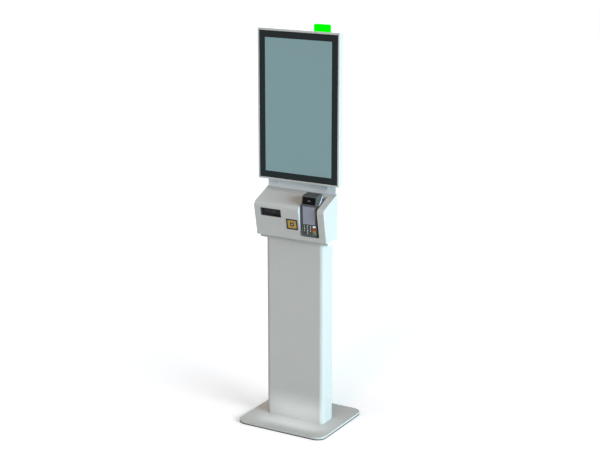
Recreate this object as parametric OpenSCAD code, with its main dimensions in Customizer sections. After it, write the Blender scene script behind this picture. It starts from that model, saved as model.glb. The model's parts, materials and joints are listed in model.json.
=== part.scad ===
// Floor-standing self-ordering kiosk: steel base and column, module box with a
// fold-down front cover, portrait touch screen, receipt printer, code scanner
// and payment terminal. Millimetres, Z up, the front of the kiosk faces -Y.
// The origin is on the floor under the middle of the base plate.

/* [Base] */
// Width of the base plate
base_w = 450; // [420:5:520]
// Depth of the base plate
base_d = 400; // [340:5:460]
// Thickness of the base plate
base_t = 8.5; // [8:0.5:14]
// Radius of the base plate's corners
base_corner_r = 45; // [25:1:60]
// Thickness of the rubber strips under the base plate
pad_t = 4.5; // [3:0.5:6]
// Width of a rubber strip
pad_w = 24; // [12:1:30]
// Distance of the strips inside the base plate's edge
pad_inset = 6; // [4:0.5:12]
// Gap between the ends of two strips
pad_gap = 8; // [4:1:20]
// Spacing of the floor bolt holes from side to side
floor_bolt_dx = 240; // [220:2:250]
// Spacing of the floor bolt holes from front to back
floor_bolt_dy = 56; // [48:1:60]
// Diameter of a floor bolt hole
floor_hole_d = 12; // [10:0.5:14]
// Diameter of the cable hole in the base plate
cable_hole_d = 60; // [50:1:64]

/* [Column] */
// Width of the column
col_w = 300; // [285:1:330]
// Depth of the column
col_d = 100; // [96:1:110]
// Height of the column above the base plate
col_h = 850.5; // [700:0.5:1000]
// Outer radius of the column's corners
col_r = 21; // [10:1:24]
// Thickness of the column's sheet
col_t = 2; // [1.5:0.1:3]
// Thickness of the plates that close the column's ends
end_plate_t = 5; // [4:0.5:8]
// Spacing of the frame bolts from side to side
frame_bolt_dx = 160; // [146:2:176]
// Spacing of the frame bolts from front to back
frame_bolt_dy = 60; // [58:1:64]
// Diameter of a frame bolt
frame_bolt_d = 8; // [6:1:8]

/* [Service panel] */
// Height of the panel's lower edge above the base plate
panel_rise = 100.5; // [90:0.5:140]
// Height of the panel
panel_h = 298.5; // [240:0.5:360]
// Reach of the panel's side flanges in front of the column's middle
panel_reach = 12; // [4:1:24]
// Width of the seam around the panel
seam = 0.5; // [0.3:0.1:1]
// Distance of a panel screw from the panel's upper or lower edge
panel_screw_inset = 35; // [20:1:60]
// Diameter of a panel screw's head
panel_screw_d = 7; // [5:0.5:9]

/* [Power] */
// Height of the power inlet's centre above the base plate
inlet_rise = 50; // [40:1:66]
// Width of the power inlet's flange
inlet_w = 52; // [48:1:60]
// Height of the power inlet's flange
inlet_h = 32; // [28:1:40]
// Depth of the inlet behind its flange
inlet_depth = 26; // [20:1:30]
// Turning radius of the mains switch
rocker_r = 7; // [5:0.5:8]
// Length of the power supply
supply_h = 200; // [150:5:240]
// Width of the power supply
supply_w = 100; // [80:2:120]
// Depth of the power supply
supply_d = 42; // [34:1:50]
// Diameter of the inner leads
lead_d = 8; // [5:0.5:9]

/* [Module box] */
// Width of the module box and of the neck above it
box_w = 348; // [344:1:349]
// Sheet thickness of the module box
box_t = 2; // [1.5:0.1:2.5]
// Reach of the box's front lip in front of the column's middle
lip_out = 54; // [51:0.5:55]
// Height of the front lip
lip_h = 14.5; // [10:0.5:15]
// Radius of the box's rear corners
box_corner_r = 10; // [5:1:16]
// Radius of the box's lower rear edge
box_edge_r = 9; // [4:1:11]
// Distance of the neck's front face behind the column's middle
neck_in = 16; // [12:0.5:18]
// Height of the box and neck above the column
neck_h = 262.5; // [258:0.5:280]
// Width of the spine that carries the screen
spine_w = 120; // [90:2:130]
// Depth of the spine
spine_d = 24; // [20:1:26]
// Sheet thickness of the spine
spine_t = 3; // [2:0.5:4]

/* [Front cover] */
// Width of the front cover
cover_w = 357; // [354:0.5:360]
// Sheet thickness of the cover
cover_t = 2; // [1.5:0.1:2.4]
// Height of the cover's lower edge above the column
cover_rise = 16; // [15.5:0.5:20]
// Reach of the cover's lower edge in front of the column's middle
foot_out = 76.5; // [74:0.5:80]
// Reach of the cover's nose in front of the column's middle
nose_out = 105; // [98:0.5:112]
// Height of the nose above the cover's lower edge
nose_rise = 152.5; // [151.5:0.5:158]
// Radius of the nose
nose_r = 22; // [8:1:24]
// Height of the cover's rear edge above the nose
slope_rise = 50.2; // [47:0.2:56]
// Gap between the cover's rear edge and the neck
cover_gap = 1.5; // [1:0.1:2]
// Reach of the cover's side walls behind the neck's front face
cover_lap = 7.5; // [3:0.5:14]
// Diameter of the hinge pins
hinge_pin_d = 5; // [4:0.5:6]
// Length of one hinge
hinge_l = 60; // [45:1:66]
// Distance of a hinge's middle from the cover's middle
hinge_x = 130; // [118:1:134]
// Distance of a lock from the cover's middle
lock_x = 126; // [120:1:132]
// Distance of the locks below the top of the neck
lock_drop = 18; // [16:0.5:20]
// Diameter of a lock's front flange
lock_d = 25; // [22:0.5:28]
// Length of a lock's cam from the lock's axis
cam_l = 43; // [41:0.5:44]

/* [Receipt printer] */
// Distance of the receipt slot's centre from the cover's middle
slot_x = -94; // [-98:0.5:-88]
// Height of the receipt slot's centre above the cover's lower edge
slot_rise = 114; // [108:0.5:115]
// Width of the receipt slot
slot_w = 106; // [94:0.5:108]
// Height of the receipt slot
slot_h = 38.5; // [24:0.5:39]
// Depth of the receipt chute
chute_depth = 20; // [12:0.5:21]
// Width of the paper
paper_w = 80; // [70:1:82]
// Radius of a full paper roll
roll_r = 45; // [36:0.5:47]
// Radius of the platen roller
platen_r = 8; // [6:0.5:10]
// Diameter of the paper roll's spindle
spindle_d = 12; // [8:0.5:16]
// Travel of the cutter blade
cutter_travel = 8; // [6:0.5:9]

/* [Scanner] */
// Distance of the scanner's centre from the cover's middle
scanner_x = 12; // [6:0.5:16]
// Height of the scanner's centre above the cover's lower edge
scanner_rise = 70.7; // [60:0.5:90]
// Width of the scanner's bezel
scanner_w = 57.5; // [50:0.5:60]
// Height of the scanner's bezel
scanner_h = 50; // [44:0.5:56]
// Width of the bezel's rim
scanner_rim = 6.5; // [4:0.1:7.2]
// Side of the scanner's square window
window_w = 18; // [14:0.5:22]

/* [Payment terminal] */
// Distance of the terminal's centre from the cover's middle
term_x = 97.2; // [94:0.2:100]
// Height of the terminal's lower end above the cover's lower edge
term_rise = 26.5; // [22:0.5:30]
// Reach of the terminal's lower end in front of the column's middle
term_out = 85.5; // [80:0.5:88]
// Lean of the terminal's face
term_lean = 2.2; // [0:0.1:4]
// Width of the terminal
term_w = 76; // [74:0.5:84]
// Thickness of the terminal's body
term_t = 24; // [20:0.5:28]
// Height of the terminal's body below the hood
term_h = 140; // [136:0.5:144]
// Width of the hood
hood_w = 72; // [68:0.5:80]
// Height of the hood's front
hood_h = 40.5; // [34:0.5:42]
// Depth of the hood's top
hood_d = 58; // [46:0.5:60]
// Free space beside the terminal
pocket_gap = 9.5; // [6:0.5:10]
// Distance of the pocket's back wall in front of the column's middle
pocket_back = 5; // [1:0.5:9]
// Width of the terminal's screen
term_screen_w = 61; // [54:0.5:66]
// Height of the terminal's screen
term_screen_h = 81; // [70:0.5:82]
// Width of a number key
key_w = 12; // [9:0.5:13]
// Height of a key
key_h = 7.6; // [6:0.2:8]
// Width of a function key
function_key_w = 14; // [10:0.5:15]
// Spacing of the number keys from side to side
key_dx = 15.5; // [14.5:0.1:15.8]
// Spacing of the key rows
key_dz = 10.6; // [9.5:0.1:10.8]
// Travel of a key
key_travel = 1; // [0.6:0.1:1.4]

/* [Screen] */
// Width of the touch glass
glass_w = 396; // [394:0.5:420]
// Height of the touch glass
glass_h = 658; // [656:0.5:720]
// Thickness of the touch glass
glass_t = 4; // [3:0.5:5]
// Width of the frame around the glass
frame_border = 8.5; // [6:0.5:10]
// Depth of the frame
frame_d = 9.5; // [8:0.5:11]
// Reach of the glass in front of the column's middle
glass_out = 16; // [14:0.5:18]
// Distance of the rear housing's sides inside the frame's sides
housing_inset = 16.25; // [14:0.25:18]
// Distance of the display panel's sides inside the glass's sides
panel_in = 19.75; // [19.25:0.25:24]
// Distance of the display panel's ends inside the glass's ends
panel_end_in = 23.75; // [22.25:0.25:28]
// Thickness of the display panel
panel_t = 11; // [8:0.5:12]
// Width of the status light
beacon_w = 75; // [50:1:90]
// Depth of the status light
beacon_d = 20; // [12:1:26]
// Height of the status light
beacon_h = 41; // [25:0.5:50]
// Distance of the status light's middle from the side of the rear housing
beacon_in = 86.25; // [60:0.25:130]

/* [Hidden] */

// Shared fits
over = 1;
fit = 0.3;
weld = 0.2;
run = 0.08;
$fn = 48;

// Heights
base_top = pad_t + base_t;
box_z = base_top + col_h;
neck_z = box_z + neck_h;
cover_z = box_z + cover_rise;
nose_z = cover_z + nose_rise;
slope_z = nose_z + slope_rise;
back_y = col_d / 2;
box_floor = box_z + box_t;

// Column details
bolt_r = frame_bolt_d / 2;
bolt_play = 0.5;
bolt_hole_r = bolt_r + bolt_play;
head_r_share = 0.82;
head_h_share = 0.7;
bolt_head_r = frame_bolt_d * head_r_share;
bolt_head_h = frame_bolt_d * head_h_share;
bolt_grip = frame_bolt_d;

// Service panel
panel_z = base_top + panel_rise;
rail_t = 2;
rail_back = 16;
rail_front = 18;
rail_over = 12;
screw_y = 8;
screw_r = panel_screw_d / 2;
screw_head_t = 1.2;
screw_shank_r = panel_screw_d / 4;
screw_l = 8;

// Power
inlet_z = base_top + inlet_rise;
inlet_flange_t = 2.5;
inlet_wall = 4;
socket_w = 20;
socket_h = 16;
socket_depth = 14;
socket_x = 9;
pin_w = 2;
pin_h = 4;
pin_l = 10;
pin_dx = 7;
rocker_x = -13;
rocker_w = 12;
rocker_sink = 4;
rocker_tilt = 10;
rocker_dish = 4.6;
rocker_gap = 0.4;
supply_rise = 66;
supply_z = panel_z + supply_rise;
supply_ear = 8;
lead_y = -20;
lead_r = lead_d / 2;
lead_bend = 22;
lead_rise = 280;
lead_top = neck_z + lead_rise;
lead_back_in = 20;
lead_back_y = back_y - lead_back_in;
lead_shift_rise = 48;
lead_shift_z = box_z + lead_shift_rise;

// Spine
spine_in = 28;
spine_front = back_y - spine_in;
spine_back = spine_front + spine_d;
spine_foot_side = 12;
spine_foot_w = frame_bolt_dx + 2 * spine_foot_side;
spine_foot_t = 4;
spine_rise = 534;
spine_top = neck_z + spine_rise;
spine_hole_play = 3;
spine_hole_r = lead_r + spine_hole_play;

// Cover
foot_y = -foot_out;
nose_y = -nose_out;
neck_y = neck_in;
cover_back_y = neck_y - cover_gap;
lean = atan((nose_out - foot_out) / nose_rise);
slope = slope_rise / (cover_back_y - nose_y);
lap_y = neck_y + cover_lap;
cover_outline = [[foot_y, cover_z], [lap_y, cover_z],
    [lap_y, slope_z + slope * (lap_y - cover_back_y)], [nose_y, nose_z]];
cover_radii = [0, 0, 0, nose_r];
inner_outline = inset_points(cover_outline, cover_t);
inner_radii = [0, 0, 0, nose_r - cover_t];
flange_l = 8.5;
pivot_in = 2;
pivot_y = foot_y + flange_l + pivot_in;
pivot_rise = 8.5;
pivot_z = cover_z + pivot_rise;
pin_r = hinge_pin_d / 2;
knuckle_wall = 2.5;
knuckle_r = pin_r + knuckle_wall;
leaf_t = 2;
leaf_h = 11;
knuckle_share = 1 / 3;
hook_w = 28;
hook_gap = 3;
hook_l = 4.5;
hook_leaf_l = 16;

// Locks
lock_z = neck_z - lock_drop;
lock_flange_t = 2;
lock_barrel_r = 9.5;
lock_barrel_l = 12;
lock_core_r = 6;
nut_r = 13;
nut_t = 3;
cam_t = 2;
cam_w = 12;
cam_hub_d = 16;
cam_y = neck_y + lock_barrel_l + fit;
hook_clear = 0.7;
hook_y = cam_y + cam_t + hook_clear;
hook_top = lock_z - cam_l + hook_l;
hook_floor = lock_z - cam_l - hook_gap;
skirt_lap = 1;
neck_skirt_z = slope_z - skirt_lap;
slit_w = 1.6;
slit_l = 8;
slit_depth = 1.5;

// Printer
slot_z = cover_z + slot_rise;
chute_wall = 2;
chute_flange = 2.25;
mouth_h = 8;
slot_corner_r = 3;
paper_z = slot_z + chute_depth * sin(lean);
paper_gap = 6;
plate_t = 2;
paper_side = 9;
printer_in = paper_w / 2 + paper_side;
mouth_side = 6;
mouth_in = printer_in - mouth_side;
printer_gap = 4.5;
printer_front = foot_y + printer_gap;
printer_rise = 35;
printer_top = paper_z + printer_rise;
roll_gap = 7;
roll_y = spine_front - roll_gap - roll_r;
shelf_rise = 12;
shelf_z = box_floor + shelf_rise;
roll_lift = 8;
roll_z = shelf_z + plate_t + roll_lift + roll_r;
platen_in = 22;
platen_y = printer_front + platen_in;
platen_z = paper_z + platen_r;
platen_side = 1;
platen_shaft_r = 3;
shaft_end = 2;
gear_t = 4;
gear_rim = 5;
gear_r = platen_shaft_r + gear_rim;
gear_teeth = 10;
gear_notch_r = 1.2;
spindle_end = 1.5;
collar_t = 2;
collar_rim = 2;
head_t = 12;
head_d = 22;
head_gap = 1;
side_foot_gap = 6;
side_front = box_t + leaf_t - lip_out + side_foot_gap;
side_back_in = 14;
side_back_rise = 28;
side_top_back = 30;
side_nose_in = 10;
side_nose_drop = 22;
tie_back = 14;
blade_t = 1.6;
blade_body = 15;
blade_h = cutter_travel + blade_body;
blade_rest = 0.5;
mouth_t = 5;

// Scanner
scanner_z = cover_z + scanner_rise;
scanner_proud = 1.2;
scanner_sink = 3;
scanner_face_t = 1.5;
scanner_depth = 42;
scanner_lip = 1;
scanner_well = 10;
scanner_ring_t = 3;
lens_r = 5;
lens_in = 6;
lens_l = 5;
window_x = -1;

// Terminal
term_z = cover_z + term_rise;
pocket_w = term_w + 2 * pocket_gap;
pocket_t = 1.5;
pocket_drop = 5;
pocket_z = term_z - pocket_drop;
term_corner_r = 10;
term_front_r = 5;
term_back_r = 2;
term_screen_z = 54;
term_screen_t = 1.2;
hood_z = term_h;
hood_top_rise = 5.5;
hood_out = 1;
hood_in = 7;
hood_lean = atan((hood_out + hood_in) / hood_h);
hood_r = 5;
hood_back_r = 4;
reader_w = 65;
reader_rise = 4.8;
reader_top_gap = 3.2;
reader_h = hood_h - reader_rise - reader_top_gap;
reader_t = 1.5;
bracket_t = 2;
bracket_gap = 11.5;
bracket_leg_w = 30;
bracket_leg_h = 14;
bracket_leg_rises = [24, 96];
bracket_leg_sink = 4;
bracket_rise = 6;
bracket_taper = 2;
bracket_share = 0.72;
key_rows_z = 13.6;
key_col_x = -22.7;
function_col_x = 26;
key_deep = 3.4;
key_proud = 0.9;
key_side = 0.35;
key_corner_r = 1.6;

// Screen
frame_w = glass_w + 2 * frame_border;
frame_h = glass_h + 2 * frame_border;
frame_sink = 2.3;
frame_z = neck_z - frame_sink;
glass_z = frame_z + frame_border;
screen_z = glass_z + glass_h / 2;
glass_y = -glass_out;
glass_sink = 0.5;
frame_y = glass_y - glass_sink;
frame_back_y = frame_y + frame_d;
frame_corner_r = 5.5;
frame_edge = 3;
ledge_side = 14;
ledge_end = 10;
ledge_t = frame_back_y - glass_y - glass_t - fit;
panel_y = glass_y + glass_t + weld;
panel_w = glass_w - 2 * panel_in;
panel_tall = glass_h - 2 * panel_end_in;
housing_w = frame_w - 2 * housing_inset;
beacon_x = housing_w / 2 - beacon_in;
housing_gap = 1;
housing_z = neck_z + housing_gap;
housing_drop = 11.7;
housing_top = frame_z + frame_h - housing_drop;
housing_t = 2;
housing_slot_side = 4;
housing_slot_back = 1.5;
housing_r = 10;
vent_w = 5;
vent_h = 44;
vent_count = 15;
vent_dx = 14;
vent_inset = 40;
rail_h = 30;
rail_rise = 180;
rail_plate_t = 4;
standoff_w = 12;
rail_y = panel_y + panel_t + fit;
computer_w = 115;
computer_h = 150;
computer_d = 34;
computer_in = 8.5;
computer_y = spine_front - computer_in;
computer_drop = 30;
camera_w = 20;
camera_h = 9.5;
camera_d = 8;
camera_lens_r = 2.5;
camera_drop = 16.4;
beacon_out = 12;
light_corner_r = 3;

// Helpers
function unit(v) = v / norm(v);
function left_of(v) = [-v.y, v.x];
function corner_before(p, i) = p[(i + len(p) - 1) % len(p)];
function corner_after(p, i) = p[(i + 1) % len(p)];

// An outline, listed anticlockwise, with every side moved in by d
function inset_points(p, d) = [for (i = [0 : len(p) - 1])
    let (n = left_of(unit(p[i] - corner_before(p, i))), m = left_of(unit(corner_after(p, i) - p[i])))
    p[i] + d * (n + m) / (1 + n * m)];

// The points of a round corner at b, between a and c
function fillet(a, b, c, r, steps = 10) = r <= 0 ? [b] :
    let (u = unit(a - b), v = unit(c - b), half = acos(u * v) / 2, turn = 180 - 2 * half,
        middle = b + unit(u + v) * r / sin(half),
        first = b + u * r / tan(half) - middle, last = b + v * r / tan(half) - middle)
    [for (i = [0 : steps])
        middle + (sin((1 - i / steps) * turn) * first + sin(i / steps * turn) * last) / sin(turn)];

function rounded(p, radii, steps = 10) = [for (i = [0 : len(p) - 1])
    each fillet(corner_before(p, i), p[i], corner_after(p, i), radii[i], steps)];

function rectangle(x, y) = [[x[0], y[0]], [x[1], y[0]], [x[1], y[1]], [x[0], y[1]]];

// A box given by its lowest and highest value on each axis
module span(x, y, z) {
    translate([x[0], y[0], z[0]]) cube([x[1] - x[0], y[1] - y[0], z[1] - z[0]]);
}

module rounded_plate(w, h, r) {
    square([w - 2 * r, h], center = true);
    square([w, h - 2 * r], center = true);
    for (x = [-1, 1], y = [-1, 1]) translate([x * (w / 2 - r), y * (h / 2 - r)]) circle(r = r);
}

// Side outlines are drawn in Y and Z, and stand across X
module across(w) {
    rotate([90, 0, 90]) linear_extrude(w, center = true) children();
}

// Front outlines are drawn in X and Z, and reach back along Y
module inward(d) {
    translate([0, d, 0]) rotate([90, 0, 0]) linear_extrude(d) children();
}

module rod_x(r, l) {
    rotate([0, 90, 0]) cylinder(r = r, h = l, center = true);
}

module rod_y(r, l) {
    rotate([-90, 0, 0]) cylinder(r = r, h = l);
}

module four(dx, dy) {
    for (x = [-1, 1], y = [-1, 1]) translate([x * dx / 2, y * dy / 2]) children();
}

// The cover's leaning front face, x across, y into the kiosk, z up the face
function face_y(z) = foot_y - (z - cover_z) * tan(lean);

module on_face(x, z) {
    translate([x, face_y(z), z]) rotate([lean, 0, 0]) children();
}

module on_terminal() {
    translate([term_x, -term_out, term_z]) rotate([term_lean, 0, 0]) children();
}

// Base and column
module base_plate() {
    color("lightgray") translate([0, 0, pad_t]) difference() {
        linear_extrude(base_t) rounded_plate(base_w, base_d, base_corner_r);
        translate([0, 0, -over]) cylinder(d = cable_hole_d, h = base_t + 2 * over);
        four(floor_bolt_dx, floor_bolt_dy) translate([0, 0, -over])
            cylinder(d = floor_hole_d, h = base_t + 2 * over);
        four(frame_bolt_dx, frame_bolt_dy) translate([0, 0, base_t - bolt_grip])
            cylinder(r = bolt_r + run, h = bolt_grip + over);
    }
}

module foot_outline(inset) {
    rounded_plate(base_w - 2 * inset, base_d - 2 * inset, max(base_corner_r - inset, fit));
}

// Four rubber strips that follow the plate's corners
module foot_pads() {
    color("dimgray") linear_extrude(pad_t) difference() {
        foot_outline(pad_inset);
        foot_outline(pad_inset + pad_w);
        square([pad_gap, base_d], center = true);
        square([base_w, pad_gap], center = true);
    }
}

module column_outline(inset) {
    rounded_plate(col_w - 2 * inset, col_d - 2 * inset, col_r - inset);
}

// A piece of the right side, and its mirror image on the left
module both_sides() {
    for (side = [0, 1]) mirror([side, 0, 0]) children();
}

module panel_cut(gap) {
    span([-col_w, col_w], [-panel_reach - gap, col_d], [panel_z - gap, panel_z + panel_h + gap]);
}

module column_shell() {
    side_in = col_w / 2 - col_t;
    color("lightgray") {
        difference() {
            translate([0, 0, base_top]) linear_extrude(col_h) difference() {
                column_outline(0);
                column_outline(col_t);
            }
            panel_cut(seam);
            span([-inlet_w / 2 + inlet_wall - fit, inlet_w / 2 - inlet_wall + fit], [0, col_d],
                [inlet_z - inlet_h / 2 + inlet_wall - fit, inlet_z + inlet_h / 2 - inlet_wall + fit]);
        }
        both_sides() {
            difference() {
                union() {
                    span([side_in - rail_t - fit, side_in - fit], [-panel_reach - rail_front, rail_back],
                        [panel_z - rail_over, panel_z + panel_h + rail_over]);
                    span([side_in - rail_t - fit, side_in],
                        [-panel_reach - rail_front, -panel_reach - seam],
                        [panel_z - rail_over, panel_z + panel_h + rail_over]);
                }
                panel_screw_places() rod_x(screw_shank_r + run, 2 * screw_l);
            }
        }
    }
}

module panel_screw_places() {
    for (z = [panel_z + panel_screw_inset, panel_z + panel_h - panel_screw_inset])
        translate([col_w / 2, screw_y, z]) children();
}

module column_end_plates() {
    color("silver") for (z = [base_top, box_z - end_plate_t]) translate([0, 0, z]) difference() {
        linear_extrude(end_plate_t) column_outline(col_t + weld);
        translate([0, 0, -over]) {
            cylinder(d = cable_hole_d + 2 * over, h = end_plate_t + 2 * over);
            four(floor_bolt_dx, floor_bolt_dy) cylinder(d = floor_hole_d, h = end_plate_t + 2 * over);
            four(frame_bolt_dx, frame_bolt_dy) cylinder(r = bolt_hole_r, h = end_plate_t + 2 * over);
        }
    }
}

module hex_bolt(grip) {
    cylinder(r = bolt_head_r, h = bolt_head_h, $fn = 6);
    translate([0, 0, -grip]) cylinder(r = bolt_r, h = grip + over / 2);
}

module frame_bolts() {
    for (x = [-1, 1]) {
        for (y = [-1, 1]) translate([x * frame_bolt_dx / 2, y * frame_bolt_dy / 2,
            base_top + end_plate_t]) hex_bolt(end_plate_t + bolt_grip - over);
        translate([x * frame_bolt_dx / 2, -frame_bolt_dy / 2, box_floor])
            hex_bolt(box_t + end_plate_t);
        translate([x * frame_bolt_dx / 2, frame_bolt_dy / 2, box_floor + spine_foot_t])
            hex_bolt(spine_foot_t + box_t + end_plate_t);
    }
}

module service_panel() {
    color("lightgray") difference() {
        intersection() {
            translate([0, 0, base_top]) linear_extrude(col_h) difference() {
                column_outline(0);
                column_outline(col_t);
            }
            panel_cut(0);
        }
        both_sides() panel_screw_places() rod_x(screw_shank_r + fit, 2 * screw_l);
    }
}

module panel_screws() {
    both_sides() panel_screw_places() {
        translate([screw_head_t / 2, 0, 0]) rod_x(screw_r, screw_head_t);
        translate([(screw_head_t - screw_l) / 2, 0, 0]) rod_x(screw_shank_r, screw_l);
    }
}

// Frame bolts, and the screws of the service panel
module fixings() {
    color("gray") {
        frame_bolts();
        panel_screws();
    }
}

// Power
module inlet_body(x, z, y) {
    span([-x, x], y, [inlet_z - z, inlet_z + z]);
}

module rocker_place() {
    translate([rocker_x, back_y + inlet_flange_t - rocker_sink, inlet_z]) children();
}

module power_inlet() {
    color("dimgray") {
        difference() {
            union() {
                inlet_body(inlet_w / 2, inlet_h / 2, [back_y, back_y + inlet_flange_t]);
                inlet_body(inlet_w / 2 - inlet_wall, inlet_h / 2 - inlet_wall,
                    [back_y - inlet_depth, back_y + over / 2]);
            }
            span([socket_x - socket_w / 2, socket_x + socket_w / 2],
                [back_y + inlet_flange_t - socket_depth, col_d],
                [inlet_z - socket_h / 2, inlet_z + socket_h / 2]);
            rocker_place() rod_x(rocker_r + rocker_gap, rocker_w + 2 * rocker_gap);
        }
        for (i = [-1 : 1]) translate([socket_x + i * pin_dx, 0, inlet_z - pin_w / 2])
            span([-pin_w / 2, pin_w / 2],
                [back_y + inlet_flange_t - socket_depth - over, back_y + inlet_flange_t
                    - socket_depth + pin_l], [-pin_h / 2 - i * i, pin_h / 2 - i * i]);
    }
}

module power_rocker() {
    color("black") rocker_place() rotate([rocker_tilt, 0, 0]) difference() {
        rod_x(rocker_r, rocker_w);
        across(rocker_w + 2 * over)
            polygon([[rocker_dish, 0], [rocker_r + over, rocker_r], [2 * rocker_r, 0],
                [rocker_r + over, -rocker_r]]);
    }
}

module power_supply() {
    front = col_t - back_y;
    color("silver") {
        span([-supply_w / 2, supply_w / 2], [front, front + supply_d], [supply_z, supply_z + supply_h]);
        span([-supply_w / 2, supply_w / 2], [front, front + plate_t],
            [supply_z - supply_ear, supply_z + supply_h + supply_ear]);
    }
}

// A quarter bend of a lead, from the origin along +Z and over towards +Y
module lead_elbow() {
    translate([0, lead_bend, 0]) rotate([0, 90, 0]) rotate([0, 0, 180])
        rotate_extrude(angle = 90) translate([lead_bend, 0]) circle(r = lead_r);
}

module lead_run(l) {
    cylinder(r = lead_r, h = l);
}

module inner_leads() {
    inlet_back = back_y - inlet_depth;
    step = lead_back_y - lead_y - 2 * lead_bend;
    color("black") {
        translate([0, inlet_back, inlet_z]) rotate([90, 0, 0]) lead_run(inlet_back - lead_y - lead_bend);
        translate([0, lead_y, inlet_z + lead_bend]) {
            mirror([0, 0, 1]) lead_elbow();
            lead_run(supply_z - inlet_z - lead_bend);
        }
        translate([0, lead_y, supply_z + supply_h]) lead_run(lead_shift_z - supply_z - supply_h);
        translate([0, lead_y, lead_shift_z]) {
            lead_elbow();
            translate([0, lead_bend, lead_bend]) rotate([-90, 0, 0]) lead_run(step);
        }
        translate([0, lead_back_y, lead_shift_z + 2 * lead_bend]) {
            mirror([0, 1, 0]) mirror([0, 0, 1]) lead_elbow();
            lead_run(lead_top - lead_shift_z - 3 * lead_bend);
        }
        translate([0, lead_back_y, lead_top - lead_bend]) {
            rotate([0, 0, -90]) lead_elbow();
            translate([lead_bend, 0, lead_bend]) rotate([0, 90, 0])
                lead_run(spine_w / 2 + fit - lead_bend);
        }
    }
}

// Module box, neck and spine
module spine() {
    color("silver") {
        difference() {
            span([-spine_w / 2, spine_w / 2], [spine_front, spine_back],
                [box_floor + spine_foot_t - over / 2, spine_top]);
            span([-spine_w / 2 + spine_t, spine_w / 2 - spine_t],
                [spine_front - over, spine_back - spine_t],
                [box_floor + spine_foot_t, spine_top + over]);
            translate([spine_w / 2, lead_back_y, lead_top]) rod_x(spine_hole_r, 4 * spine_t);
        }
        difference() {
            span([-spine_foot_w / 2, spine_foot_w / 2], [spine_front, back_y - box_edge_r],
                [box_floor, box_floor + spine_foot_t]);
            four(frame_bolt_dx, frame_bolt_dy) cylinder(r = bolt_hole_r, h = 2 * box_z);
        }
    }
}

module box_plan(inset) {
    edge = box_w / 2 - inset;
    polygon(rounded(rectangle([-edge, edge], [-lip_out - over, back_y - inset]),
        [0, 0, box_corner_r - inset, box_corner_r - inset]));
}

module box_holes() {
    cylinder(d = cable_hole_d, h = box_floor + over);
    four(frame_bolt_dx, frame_bolt_dy) cylinder(r = bolt_hole_r, h = box_floor + over);
    for (x = [-lock_x, lock_x]) translate([x, 0, lock_z]) rod_y(lock_barrel_r + weld, neck_y + 2 * box_t);
}

// The folded box in one piece, before its floor is parted from it
module box_sheet() {
    lip_z = box_z + lip_h;
    side_edge_z = box_z + neck_h / 2;
    difference() {
        intersection() {
            linear_extrude(neck_z) box_plan(0);
            across(2 * box_w) polygon(rounded([[-lip_out, box_z], [back_y, box_z],
                [back_y, neck_z], [neck_y, neck_z], [neck_y, side_edge_z], [-lip_out, lip_z]],
                [0, box_edge_r, 0, 0, 0, 0]));
        }
        intersection() {
            linear_extrude(neck_z + over) union() {
                box_plan(box_t);
                translate([-box_w / 2 + box_t, -2 * lip_out])
                    square([box_w - 2 * box_t, 2 * lip_out]);
            }
            across(2 * box_w) polygon(rounded([[-lip_out + box_t, box_floor],
                [back_y - box_t, box_floor], [back_y - box_t, neck_z + over],
                [neck_y + box_t, neck_z + over], [neck_y + box_t, neck_skirt_z],
                [-lip_out - over, neck_skirt_z], [-lip_out - over, lip_z], [-lip_out + box_t, lip_z]],
                [0, box_edge_r - box_t, 0, 0, 0, 0, 0, 0]));
        }
        box_holes();
    }
}

// The room of the floor and its front lip, grown by the gap on its three inner sides
module floor_room(gap) {
    side = box_w / 2 - box_t - weld + gap;
    span([-side, side], [-lip_out - over, back_y - box_edge_r + gap], [0, box_z + lip_h + over]);
}

module module_floor() {
    color("lightgray") intersection() {
        box_sheet();
        floor_room(0);
    }
}

module module_box() {
    color("lightgray") difference() {
        box_sheet();
        floor_room(weld);
    }
}

// Front cover
module pocket_cut(gap, back) {
    span([term_x - pocket_w / 2 - gap, term_x + pocket_w / 2 + gap],
        [-2 * nose_out, back - pocket_back], [pocket_z - gap, 2 * slope_z]);
}

module slot_outline() {
    polygon(rounded(rectangle([-slot_w / 2, slot_w / 2], [-slot_h / 2, slot_h / 2]),
        [for (i = [0 : 3]) slot_corner_r]));
}

module front_cover() {
    side_in = cover_w - 2 * cover_t;
    cavity = rounded(inner_outline, inner_radii);
    color("lightgray") difference() {
        across(cover_w) polygon(rounded(cover_outline, cover_radii));
        across(side_in) polygon(cavity);
        // open at the back, above the short lower flange
        span([-side_in / 2, side_in / 2], [foot_y + flange_l, back_y], [cover_z - over, pivot_z]);
        span([-side_in / 2, side_in / 2], [cover_back_y, back_y], [cover_z, 2 * slope_z]);
        pocket_cut(0, 0);
        on_face(slot_x, slot_z) translate([0, -over, 0]) inward(over + 2 * cover_t) slot_outline();
        on_face(scanner_x, scanner_z) span([-scanner_w / 2 + cover_t, scanner_w / 2 - cover_t],
            [-over, 2 * cover_t], [-scanner_h / 2 + cover_t, scanner_h / 2 - cover_t]);
    }
}

// Hinges
module at_hinges() {
    for (x = [-hinge_x, hinge_x]) translate([x, pivot_y, pivot_z]) children();
}

module hinge_fixed_leaves() {
    knuckle_l = hinge_l * knuckle_share;
    leaf_y = box_t - lip_out - pivot_y;
    color("gray") at_hinges() {
        for (side = [-1, 1]) translate([side * knuckle_l, 0, 0]) {
            rod_x(knuckle_r, knuckle_l);
            span([-knuckle_l / 2, knuckle_l / 2], [0, leaf_y + leaf_t], [-leaf_t / 2, leaf_t / 2]);
        }
        span([-hinge_l / 2, hinge_l / 2], [leaf_y, leaf_y + leaf_t],
            [box_floor - pivot_z, leaf_t / 2]);
        rod_x(pin_r, hinge_l);
    }
}

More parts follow.
